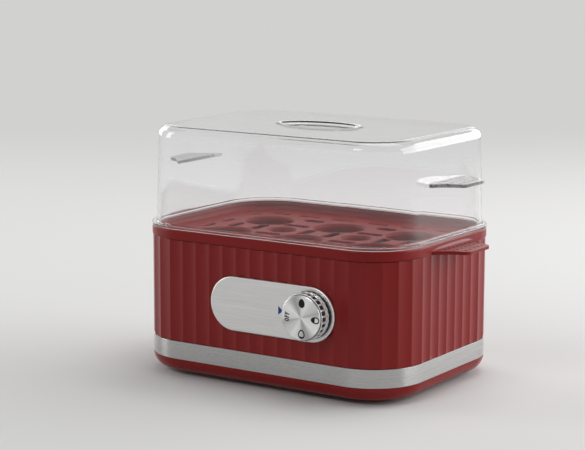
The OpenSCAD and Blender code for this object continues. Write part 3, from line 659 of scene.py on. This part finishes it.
# The marks on the face are black paint laid in shallow prints: a full, a half and an empty egg, and OFF.
# They tell how hard the eggs will be, and turn with the knob.
mark_ink = moulded_plastic("mark_ink", (0.006, 0.006, 0.007), 0.5, specular=0.2)
mark_white = moulded_plastic("mark_white", (0.78, 0.78, 0.77), 0.5)
mark_y = -107.24
mark_t = 0.07


def egg_outline(across, tall, count=40, start=0.0, end=2 * math.pi):
    """Outline of an egg icon, broad end down, round its own middle."""
    points = []
    for i in range(count):
        angle = start + (end - start) * i / count
        lean = 1 - 0.16 * math.sin(angle)
        points.append((across / 2 * math.cos(angle) * lean, tall / 2 * math.sin(angle)))
    return points


def mark(name, loops, centre, paint, turned=0.0, lift=0.0):
    """A thin print from closed outlines: one is filled, and two make a ring."""
    count = len(loops[0])
    cos, sin = math.cos(turned), math.sin(turned)
    middle_x, middle_z = knob_x + centre[0], knob_z + centre[1]
    place = []
    for loop in loops:
        place += [(middle_x + x * cos - z * sin, middle_z + x * sin + z * cos) for x, z in loop]
    points = [(x, mark_y - lift, z) for x, z in place] + [(x, mark_y - lift + mark_t, z) for x, z in place]
    half = len(place)
    faces = []
    if len(loops) == 1:
        faces.append(tuple(range(count)))
        faces.append(tuple(range(2 * count - 1, count - 1, -1)))
        faces += [(i, (i + 1) % count, half + (i + 1) % count, half + i) for i in range(count)]
    else:
        for i in range(count):
            j = (i + 1) % count
            faces.append((i, j, count + j, count + i))
            faces.append((half + i, half + j, half + count + j, half + count + i))
            faces.append((i, j, half + j, half + i))
            faces.append((count + i, count + j, half + count + j, half + count + i))
    piece = piece_from(name, points, faces, paint, "knob")


hard_place = (1.0, 11.6)
medium_place = (13.3, -0.35)
soft_place = (0.85, -12.7)
lying = math.pi / 2
mark("mark_hard", [egg_outline(5.5, 7.1)], hard_place, mark_ink)
medium_ring = [egg_outline(5.5, 7.8), egg_outline(3.5, 5.8)]
mark("mark_medium_ring", medium_ring, medium_place, mark_ink, turned=lying)
mark("mark_medium_white", [egg_outline(4.1, 6.4)], medium_place, mark_white, turned=lying, lift=-0.01)
medium_half = egg_outline(4.3, 6.6, 20, 0, math.pi)
mark("mark_medium_half", [medium_half], medium_place, mark_ink, turned=lying, lift=0.02)
mark("mark_soft_ring", [egg_outline(6.0, 7.3), egg_outline(4.0, 5.3)], soft_place, mark_ink)
mark("mark_soft_base", [egg_outline(4.7, 6.0, 16, -2.5, -0.64)], soft_place, mark_ink, lift=0.02)
letter_h = 4.3
letter_w = 1.95
stroke = 0.84
off_turn = math.radians(86)
off_place = (-12.45, -0.2)


def bar(name, x0, z0, x1, z1):
    """One straight stroke of a letter."""
    mark(name, [[(x0, z0), (x1, z0), (x1, z1), (x0, z1)]], off_place, mark_ink, turned=off_turn)


def letter_f(name, x):
    """A letter F from its stem and two arms."""
    bar(name + "_stem", x, -letter_h / 2, x + stroke, letter_h / 2)
    bar(name + "_top", x + stroke, letter_h / 2 - stroke, x + letter_w, letter_h / 2)
    bar(name + "_mid", x + stroke, -0.1, x + letter_w - 0.3, -0.1 + stroke)


o_along = -2.45
o_half = 1.25
o_centre = (off_place[0] + o_along * math.cos(off_turn), off_place[1] + o_along * math.sin(off_turn))
o_count = 32
o_turns = [2 * math.pi * i / o_count for i in range(o_count)]
o_outer = [(o_half * math.cos(a), letter_h / 2 * math.sin(a)) for a in o_turns]
o_inner = [((o_half - stroke) * math.cos(a), (letter_h / 2 - stroke) * math.sin(a)) for a in o_turns]
mark("mark_off_o", [o_outer, o_inner], o_centre, mark_ink, turned=off_turn)
letter_f("mark_off_f1", -0.75)
letter_f("mark_off_f2", 1.65)

# The egg tray is moulded in the housing's red: a rim over the housing, a sunk floor and two finger tabs.
# Large seats, small seats and steam slots go through the floor, each with a rolled lip.
# The floor and the collars under its seats have a duller skin than the rim and the tabs.
tray_red = moulded_plastic("tray_red", (0.185, 0.0042, 0.0034), 0.30, ripple=0.1, specular=0.22)
floor_red = moulded_plastic("tray_floor_red", (0.185, 0.0042, 0.0034), 0.38, ripple=0.1, specular=0.14)
rim_count = 360
rim_stations = [station(quarter_run * 4 * i / rim_count) for i in range(rim_count)]
# Each pair is a reach beyond the core and a height.
tray_profile = (
    (39.0, 112.4), (40.8, 112.4), (41.0, 112.6), (41.0, 114.6), (44.9, 114.55), (45.2, 114.7),
    (45.35, 115.1), (45.4, 115.8), (45.4, 121.3), (45.25, 121.95), (44.85, 122.35), (44.3, 122.5),
    (43.1, 122.5), (42.6, 122.35), (42.4, 122.0), (42.4, 118.5), (42.1, 117.0), (41.3, 115.6),
    (40.2, 114.7), (39.0, 114.3),
)
tray_rings = [outline_points(rim_stations, reach, z) for reach, z in tray_profile]
tray_rim = piece_from("tray_rim", *loft(tray_rings, closed=True), tray_red, "tray", sharp=40)
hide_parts("egg_tray")


def stadium_loop(x, y, length, width, turned, count=14):
    """Plan of a slot with round ends, turned about its middle."""
    loop = []
    cos, sin = math.cos(turned), math.sin(turned)
    half = (length - width) / 2
    for side in (0, 1):
        for i in range(count + 1):
            angle = math.pi * i / count - math.pi / 2 + math.pi * side
            px = (half if side == 0 else -half) + width / 2 * math.cos(angle)
            py = width / 2 * math.sin(angle)
            loop.append((x + px * cos - py * sin, y + px * sin + py * cos))
    return loop


def circle_loop(x, y, d, count=64):
    """Plan of a round hole."""
    turns = [2 * math.pi * i / count for i in range(count)]
    return [(x + d / 2 * math.cos(turn), y + d / 2 * math.sin(turn)) for turn in turns]


def inset_loop(loop, inset):
    """The loop moved by inset towards its left side."""
    moved = []
    for (x0, y0), (x, y), (x1, y1) in zip(loop[-1:] + loop[:-1], loop, loop[1:] + loop[:1]):
        run = math.hypot(x1 - x0, y1 - y0)
        moved.append((x - (y1 - y0) / run * inset, y + (x1 - x0) / run * inset))
    return moved


def holds(loop, x, y):
    """Whether the point is inside the loop."""
    inside = False
    for (x0, y0), (x1, y1) in zip(loop, loop[1:] + loop[:1]):
        if (y0 > y) != (y1 > y) and x < x0 + (y - y0) / (y1 - y0) * (x1 - x0):
            inside = not inside
    return inside


def flat_triangles(loops):
    """Triangles between the first loop and the holes that follow it."""
    points = []
    edges = []
    for loop in loops:
        first = len(points)
        points += [Vector(point) for point in loop]
        edges += [(first + i, first + (i + 1) % len(loop)) for i in range(len(loop))]
    corners_found, _, faces_found, _, _, _ = delaunay_2d_cdt(points, edges, [], 0, 0.00001)
    boxes = [
        (min(x for x, y in loop), max(x for x, y in loop), min(y for x, y in loop), max(y for x, y in loop))
        for loop in loops
    ]
    kept = []
    for face in faces_found:
        corners = [(corners_found[i].x, corners_found[i].y) for i in face]
        x = sum(px for px, py in corners) / 3
        y = sum(py for px, py in corners) / 3
        near = [loop for loop, box in zip(loops, boxes) if box[0] < x < box[1] and box[2] < y < box[3]]
        hits = [loop for loop in near if holds(loop, x, y)]
        if len(hits) == 1 and hits[0] is loops[0]:
            kept.append(corners)
    return kept


def pierced_plate(name, outer, holes, low, high, edge, paint, body):
    """A flat plate with holes, whose top and bottom edges are all rounded."""
    loops = []
    for loop, side in [(outer, 1)] + [(hole, -1) for hole in holes]:
        area = sum(x0 * y1 - x1 * y0 for (x0, y0), (x1, y1) in zip(loop, loop[1:] + loop[:1]))
        loops.append(loop if area * side > 0 else loop[::-1])
    turns = [math.pi / 8 * i for i in range(5)]
    bend = [(edge * (1 - math.sin(turn)), edge * (1 - math.cos(turn))) for turn in turns]
    levels = [(inset, high - drop) for inset, drop in bend]
    levels += [(inset, low + drop) for inset, drop in reversed(bend)]
    plate = bmesh.new()
    for loop in loops:
        rows = []
        for inset, z in levels:
            rows.append([plate.verts.new((x * mm, y * mm, z * mm)) for x, y in inset_loop(loop, inset)])
        for upper, lower in zip(rows, rows[1:]):
            for i in range(len(loop)):
                j = (i + 1) % len(loop)
                plate.faces.new((upper[i], lower[i], lower[j], upper[j]))
    for corners in flat_triangles([inset_loop(loop, edge) for loop in loops]):
        plate.faces.new([plate.verts.new((x * mm, y * mm, high * mm)) for x, y in corners])
        plate.faces.new([plate.verts.new((x * mm, y * mm, low * mm)) for x, y in reversed(corners)])
    bmesh.ops.remove_doubles(plate, verts=plate.verts, dist=0.000005)
    bmesh.ops.recalc_face_normals(plate, faces=plate.faces)
    mesh = bpy.data.meshes.new(name)
    plate.to_mesh(mesh)
    plate.free()
    return place_piece(name, mesh, paint, body, sharp=40, flatness=100)


floor_top = 114.3
floor_t = 2.0
floor_reach = 39.6
lip_r = 0.7
lip_flare = 1.3
seat_d = 41
seat_hole_d = 44.6
small_d = 22.5
small_hole_d = 26.0
seat_places = [(x, y) for x in (-70, 0, 70) for y in (-32, 32)]
small_places = [(-36, 0), (36, 0)]
tray_holes = [circle_loop(x, y, seat_hole_d) for x, y in seat_places]
tray_holes += [circle_loop(x, y, small_hole_d, 48) for x, y in small_places]
# Each row is a slot's place, length, width and turn, and stands for its mirrored slots too.
slot_table = (
    (12, 0, 22, 8, 90), (60, 0, 22, 8, 90), (83, 0, 20, 7, 90), (36, 22, 24, 7, 0), (36, 50, 18, 9, 0),
    (101, 14, 15, 4.5, 90), (18, 67, 20, 3.2, 0), (52, 67, 20, 3.2, 0), (81, 67, 18, 3.2, 0),
    (99, 53, 10, 3.5, -45),
)
for slot_x, slot_y, slot_l, slot_w, slot_turn in slot_table:
    for side_x in (1, -1):
        for side_y in (1, -1) if slot_y else (1,):
            turned = math.radians(slot_turn) * side_x * side_y
            long, wide = slot_l + lip_flare, slot_w + lip_flare
            tray_holes.append(stadium_loop(slot_x * side_x, slot_y * side_y, long, wide, turned))
floor_outer = [(x, y) for x, y, _ in outline_points(rim_stations, floor_reach, 0)]
tray_floor = pierced_plate(
    "tray_floor", floor_outer, tray_holes, floor_top - floor_t, floor_top, lip_r, floor_red, "tray"
)
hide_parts("egg_tray")

collar_count = 72
# Each pair is a distance out from the collar's bore and a height.
collar_profile = (
    (0, 107.6), (0, 109.5), (0, 111.4), (0.12, 112.2), (0.45, 113.1), (1.0, 113.8), (1.7, 114.25),
    (2.5, 114.42), (3.3, 114.40), (3.6, 114.25), (3.6, 113.4), (1.9, 112.2), (1.5, 111.4),
    (1.5, 107.6), (1.2, 107.3), (0.3, 107.3),
)


def collar(name, x, y, d):
    """Turned collar under a seat, with the seat's rolled lip on its top edge."""
    rings = []
    for out, z in collar_profile:
        rings.append([(px, py, z) for px, py in circle_loop(x, y, d + 2 * out, collar_count)])
    piece = piece_from(name, *loft(rings, closed=True), floor_red, "tray", sharp=50)
    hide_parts("egg_tray")


for index, (x, y) in enumerate(seat_places):
    collar(f"seat_collar_{index + 1}", x, y, seat_d)
for index, (x, y) in enumerate(small_places):
    collar(f"small_collar_{index + 1}", x, y, small_d)


def tab_outline(side, wall, out, root, tip, corner=6.5, count=10):
    """Plan of a finger tab: rounded tip corners and sides that sweep out into the wall."""
    loop = [(wall - 1.5, -root - 0.5)]
    for i in range(count + 1):
        t = i / count
        sweep = 1.6 * t - 0.6 * t * t
        loop.append((wall + 0.2 + (out - wall - corner) * t, -root + (root - tip) * sweep))
    for i in range(1, count + 1):
        angle = -math.pi / 2 + math.pi / 2 * i / count
        loop.append((out - corner + corner * math.cos(angle), -tip + corner + corner * math.sin(angle)))
    loop += [(x, -y) for x, y in reversed(loop)]
    return [(x * side, y) for x, y in loop]


dimple_count = 14


def dimple_rows(side, rows, step, d):
    """Round dimples in rows across a tab, each row at its own distance out."""
    loops = []
    for x, count in rows:
        for i in range(count):
            loops.append(circle_loop(side * x, (i - (count - 1) / 2) * step, d, dimple_count))
    return loops


tray_rows = ((129.7, 7), (137.1, 7), (144.7, 5))
tab_wall = 125.4
tab_low = 114.5
tab_high = 117.2
tab_edge = 0.35
core_low = 115.2
core_high = 117.14
core_edge = 0.1
root_x = 125.0
root_foot = 116.6
root_half = 32.5
root_size = 3.2
root_lean = 0.86
root_steps = 24
# Under each tab's skin lies a dark red core plate that shows through the dimple holes: painted shade in the
# dimples.
dimple_painted_shade = moulded_plastic("dimple_painted_shade", (0.030, 0.0012, 0.0010), 0.6, specular=0.1)
for side, word in ((-1, "left"), (1, "right")):
    outline = tab_outline(side, wall=tab_wall, out=150.0, root=33, tip=20)
    dimples = dimple_rows(side, tray_rows, step=6.6, d=2.5)
    skin = pierced_plate(
        f"tray_tab_{word}", outline, dimples, tab_low, tab_high, tab_edge, tray_red, "tray"
    )
    core_outline = tab_outline(side, wall=126.0, out=148.6, root=31.6, tip=18.6)
    core = pierced_plate(
        f"tray_tab_shade_core_{word}", core_outline, [], core_low, core_high, core_edge, dimple_painted_shade, "tray"
    )
    root_rings = []
    for k in range(root_steps + 1):
        t = k / root_steps * 2 - 1
        y = root_half * t
        size = root_size * (1 - abs(t) ** 4) + 0.15
        ring = [(side * root_x, y, root_foot), (side * root_x, y, tab_high + size * root_lean)]
        for i in range(8):
            angle = math.pi + math.pi / 2 * i / 7
            rise = (size + size * math.sin(angle)) * root_lean
            ring.append((side * (tab_wall + size + size * math.cos(angle)), y, tab_high + rise))
        ring.append((side * (tab_wall + size), y, root_foot))
        root_rings.append(ring)
    root_points, root_faces = loft(root_rings, capped=True)
    root_fillet = piece_from(f"tray_tab_root_{word}", root_points, root_faces, tray_red, "tray", sharp=50)
    for part in (skin, core, root_fillet):
        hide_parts("egg_tray")

# The lid is a clear dome moulded in one piece, with a flange that sits on the tray's rim.
# Its top has a shallow oval dish with two steam vents, and its walls are polished, with a faint ripple.
# Each end has a finger tab, whose plastic is a darker grey copy of the clear plastic and whose dimples hold
# dark grey discs, both painted shade.
clear, clear_tree, clear_shader = new_material("clear_cover")
clear_place = add_node(clear_tree, "TexCoord", {})
clear_flow = add_node(clear_tree, "TexNoise", {
    "Vector": clear_place.outputs["Object"],
    "Scale": 24,
    "Detail": 2,
})
clear_haze = add_node(clear_tree, "MapRange", {
    "Value": clear_flow.outputs["Fac"],
    "To Min": 0.0,
    "To Max": 0.02,
})
clear_ripple = add_node(clear_tree, "Bump", {
    "Strength": 0.006,
    "Distance": 0.0004,
    "Height": clear_flow.outputs["Fac"],
})
feed(clear_tree, clear_shader, {
    "Base Color": (0.985, 0.985, 0.99, 1),
    "Transmission Weight": 1.0,
    "IOR": 1.49,
    "Roughness": clear_haze.outputs[0],
    "Normal": clear_ripple.outputs["Normal"],
})
clear_rays = add_node(clear_tree, "LightPath", {})
clear_let = add_node(clear_tree, "Math", {
    0: clear_rays.outputs["Is Shadow Ray"],
    1: clear_rays.outputs["Is Diffuse Ray"],
}, "MAXIMUM")
clear_air = add_node(clear_tree, "BsdfTransparent", {"Color": (0.93, 0.93, 0.935, 1)})
clear_mix = add_node(clear_tree, "MixShader", {
    0: clear_let.outputs[0],
    1: clear_shader.outputs[0],
    2: clear_air.outputs[0],
})
feed(clear_tree, clear_tree.nodes["Material Output"], {"Surface": clear_mix.outputs[0]})
lid_bottom = 122.8
lid_top = 205.0
lid_t = 2.0
edge_r = 8.3
edge_steps = 7
wall_out = 41.8
wall_top = 39.6
rim_reach = 41
lid_sharp = 60


def oval_ring(a, b, z):
    """Oval ring of the dish, whose points face those of the rim."""
    ring = []
    for x, y, dx, dy in rim_stations:
        along = (x + dx * rim_reach) / (core_x + rim_reach)
        across = (y + dy * rim_reach) / (core_y + rim_reach)
        angle = math.atan2(across, along)
        ring.append((a * math.cos(angle), b * math.sin(angle), z))
    return ring


def blended(one, two, share):
    """Ring that lies between two others."""
    return [tuple(p + (q - p) * share for p, q in zip(u, v)) for u, v in zip(one, two)]


def edge_rings(reach, top, r):
    """Rings of the rounded edge between the dome's wall and its top."""
    rings = []
    for i in range(edge_steps + 1):
        angle = math.pi / 2 * i / edge_steps
        out = reach - r + r * math.cos(angle)
        rings.append(outline_points(rim_stations, out, top - r + r * math.sin(angle)))
    return rings


def wall_ring(z, inset=0.0):
    """Ring of the dome's drawn wall, which leans in evenly towards the top."""
    lean = (wall_out - wall_top) / (lid_top - edge_r - lid_bottom)
    return outline_points(rim_stations, wall_out - (z - lid_bottom) * lean - inset, z)


outer_edge = edge_rings(wall_top, lid_top, edge_r)
inner_edge = edge_rings(wall_top - lid_t, lid_top - lid_t, edge_r - lid_t)
dish_top = oval_ring(37.2, 21.2, lid_top)
dish_under = oval_ring(38.6, 22.6, lid_top - lid_t)
# Each row is half a length, half a width and a height.
dish_rings = (
    (2, 2, 202.8), (20, 11, 202.8), (33.0, 17.0, 202.8), (34.2, 18.2, 202.82),
    (34.9, 18.9, 203.0), (35.7, 19.7, 203.8), (36.2, 20.2, 204.6), (36.6, 20.6, 204.92),
)
under_rings = (
    (37.9, 21.9, 202.9), (37.3, 21.3, 202.3), (36.7, 20.7, 201.4), (36.1, 20.1, 200.9),
    (35.2, 19.2, 200.8), (34.0, 18.0, 200.8), (20, 11, 200.8), (2, 2, 200.8),
)
# Each pair is a reach beyond the core and a height.
flange_profile = (
    (41.85, 125.75), (42.0, 125.3), (42.25, 125.08), (42.6, 125.0), (43.2, 125.0), (44.3, 125.0),
    (44.9, 124.95), (45.25, 124.75), (45.4, 124.4), (45.4, 124.1), (45.4, 123.5), (45.4, 123.3),
    (45.25, 122.95), (44.9, 122.8), (44.4, 122.8), (42.6, 122.8), (42.0, 122.8), (41.8, 122.6),
    (41.8, 122.2), (41.8, 120.6), (41.7, 120.1), (41.4, 119.85), (40.2, 119.85), (39.9, 120.1),
)
top_shares = (0.03, 0.35, 0.75, 0.97)
outside_heights = (196.2, 185, 160, 135, 127.2, 126.4)
inside_heights = (120.6, 121.4, 127, 140, 160, 185, 196.2)
skin = [oval_ring(*ring) for ring in dish_rings]
skin.append(dish_top)
skin += [blended(dish_top, outer_edge[-1], share) for share in top_shares]
skin += list(reversed(outer_edge))
skin += [wall_ring(z) for z in outside_heights]
skin += [outline_points(rim_stations, reach, z) for reach, z in flange_profile]
skin += [wall_ring(z, lid_t) for z in inside_heights]
skin += inner_edge
skin += [blended(dish_under, inner_edge[-1], share) for share in reversed(top_shares)]
skin.append(dish_under)
skin += [oval_ring(*ring) for ring in under_rings]
lid_shell = piece_from("lid_dome", *loft(skin, capped=True), clear, "lid", sharp=lid_sharp, flatness=0)
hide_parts("lid")

vent_out = 17
vent_r = 2.5
vent_z = 202
vent_depth = 12
vent_cutter = bmesh.new()
for vent_x in (-vent_out, vent_out):
    bmesh.ops.create_cone(
        vent_cutter,
        cap_ends=True,
        segments=32,
        radius1=vent_r * mm,
        radius2=vent_r * mm,
        depth=vent_depth * mm,
        matrix=Matrix.Translation((vent_x * mm, 0, vent_z * mm)),
    )
vent_mesh = bpy.data.meshes.new("vent_cutter")
vent_cutter.to_mesh(vent_mesh)
vent_cutter.free()
vent_tool = bpy.data.objects.new("vent_cutter", vent_mesh)
bpy.context.collection.objects.link(vent_tool)
vent_cut = lid_shell.modifiers.new("vents", "BOOLEAN")
vent_cut.operation = "DIFFERENCE"
vent_cut.solver = "EXACT"
vent_cut.object = vent_tool
pierced = bpy.data.meshes.new_from_object(lid_shell.evaluated_get(bpy.context.evaluated_depsgraph_get()))
lid_shell.modifiers.remove(vent_cut)
lid_shell.data = pierced
pierced.shade_smooth()
pierced.set_sharp_from_angle(angle=math.radians(lid_sharp))
bpy.data.objects.remove(vent_tool)

# The tabs take a darker grey copy of the clear plastic: painted shade that makes them look greyer than the
# dome.
clear_tab_painted_grey = clear.copy()
clear_tab_painted_grey.name = "clear_tab_painted_grey"
feed(clear_tab_painted_grey.node_tree, clear_tab_painted_grey.node_tree.nodes["Principled BSDF"], {
    "Base Color": (0.62, 0.62, 0.625, 1),
    "Specular IOR Level": 0.35,
})
# Dark grey discs sit in the tab's dimples: painted shade that makes the dimples look dark.
dimple_painted_shade_grey = moulded_plastic("dimple_painted_shade_grey", (0.035, 0.035, 0.037), 0.5, specular=0.2)
lid_rows = ((123.9, 7), (131.2, 7), (138.7, 5))
lid_tab_low = 166.7
lid_tab_high = 169.4
lid_tab_edge = 0.3
cup_heights = (168.4, 169.3)
for side, word in ((-1, "left"), (1, "right")):
    outline = tab_outline(side, wall=122.6, out=145.2, root=31, tip=19)
    dimples = dimple_rows(side, lid_rows, step=6.8, d=2.6)
    tab = pierced_plate(
        f"lid_tab_{word}", outline, dimples, lid_tab_low, lid_tab_high, lid_tab_edge, clear_tab_painted_grey, "lid"
    )
    cup_points = []
    cup_faces = []
    for loop in dimple_rows(side, lid_rows, step=6.8, d=2.5):
        first = len(cup_points)
        points, faces = loft([[(x, y, z) for x, y in loop] for z in cup_heights], capped=True)
        cup_points += points
        cup_faces += [tuple(first + i for i in face) for face in faces]
    cups = piece_from(f"lid_tab_dimple_shade_{word}", cup_points, cup_faces, dimple_painted_shade_grey, "lid")
    for part in (tab, cups):
        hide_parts("lid")

# Under the tray, a pressed stainless pan holds the water. It hangs by its flange on a silicone gasket.
# The pan keeps the satin of rolled sheet, dulled by hot water, and the gasket is a soft milky white.
pan_steel = brushed_metal("pan_steel", (0.36, 0.36, 0.355), (260, 24, 260), 0.40, contrast=0.25)
finish_node("water_pan", pan_steel)
silicone = moulded_plastic("silicone", (0.66, 0.65, 0.61), 0.6, flow=0.06)
finish_node("pan_gasket", silicone)

# The heater is a cast aluminium plate with a sheathed steel element brazed under it.
# Heat has darkened the sheath, and the cast surface is lightly pitted.
cast_alloy = brushed_metal("cast_alloy", (0.42, 0.42, 0.43), (300, 300, 300), 0.42, contrast=0.5)
finish_node("heater_plate", cast_alloy)
sheath = brushed_metal("element_sheath", (0.12, 0.105, 0.10), (180, 180, 180), 0.45, contrast=0.7)
finish_node("heating_element", sheath)
tinned = brushed_metal("tinned_brass", (0.55, 0.47, 0.26), (500, 500, 500), 0.3)
finish_node("element_terminals", tinned)

# The thermostat and the fuse sit under the plate in a zinc-plated strap and clip, over a steel shield.
# The shield is galvanised, and the screws, nuts and clips are plated as the strap is.
phenolic = moulded_plastic("phenolic", (0.02, 0.02, 0.022), 0.42, flow=0.2)
finish_node("thermostat", phenolic)
finish_node("rotary_switch", phenolic)
zinc = brushed_metal("zinc_plate", (0.48, 0.48, 0.46), (420, 420, 420), 0.3, contrast=0.4)
zinc_nodes = (
    "thermostat_bracket", "fuse_clip", "shield_nuts", "plate_clips", "switch_nut", "block_screws",
    "base_screws",
)
for zinc_node in zinc_nodes:
    finish_node(zinc_node, zinc)
sleeve = moulded_plastic("fuse_sleeve", (0.62, 0.58, 0.46), 0.7, flow=0.3, ripple=1.0)
finish_node("thermal_fuse", sleeve)
galvanised = brushed_metal("galvanised", (0.45, 0.46, 0.47), (60, 60, 60), 0.34, contrast=0.6)
finish_node("heat_shield", galvanised)

# The wiring runs from the terminal block on the base's floor to the switch, the fuse and the element.
# Each wire is plain insulated flex in the usual colours for live, neutral and earth.
nylon = moulded_plastic("cream_nylon", (0.64, 0.60, 0.47), 0.5)
finish_node("terminal_block", nylon)
finish_node("live_wires", moulded_plastic("brown_flex", (0.10, 0.035, 0.014), 0.5))
finish_node("neutral_wire", moulded_plastic("blue_flex", (0.02, 0.06, 0.25), 0.5))
finish_node("earth_wire", moulded_plastic("green_flex", (0.05, 0.22, 0.03), 0.5))

# The knob turns a steel shaft, held in its hub by a spring ring.
# Both are turned steel, and mostly hidden by the knob.
shaft_steel = brushed_metal("shaft_steel", (0.40, 0.40, 0.40), (2400, 40, 2400), 0.25)
finish_node("switch_shaft", shaft_steel)
finish_node("shaft_clip", shaft_steel)

# Four rubber pads stand level with the base's rim, and a rubber gland lines the rear cord hole.
# Both are moulded in black rubber with a dull, slightly dusty skin.
rubber = moulded_plastic("black_rubber", (0.018, 0.018, 0.018), 0.66, flow=0.3, ripple=1.0, specular=0.35)
finish_node("rubber_feet", rubber)
finish_node("cord_gland", rubber)
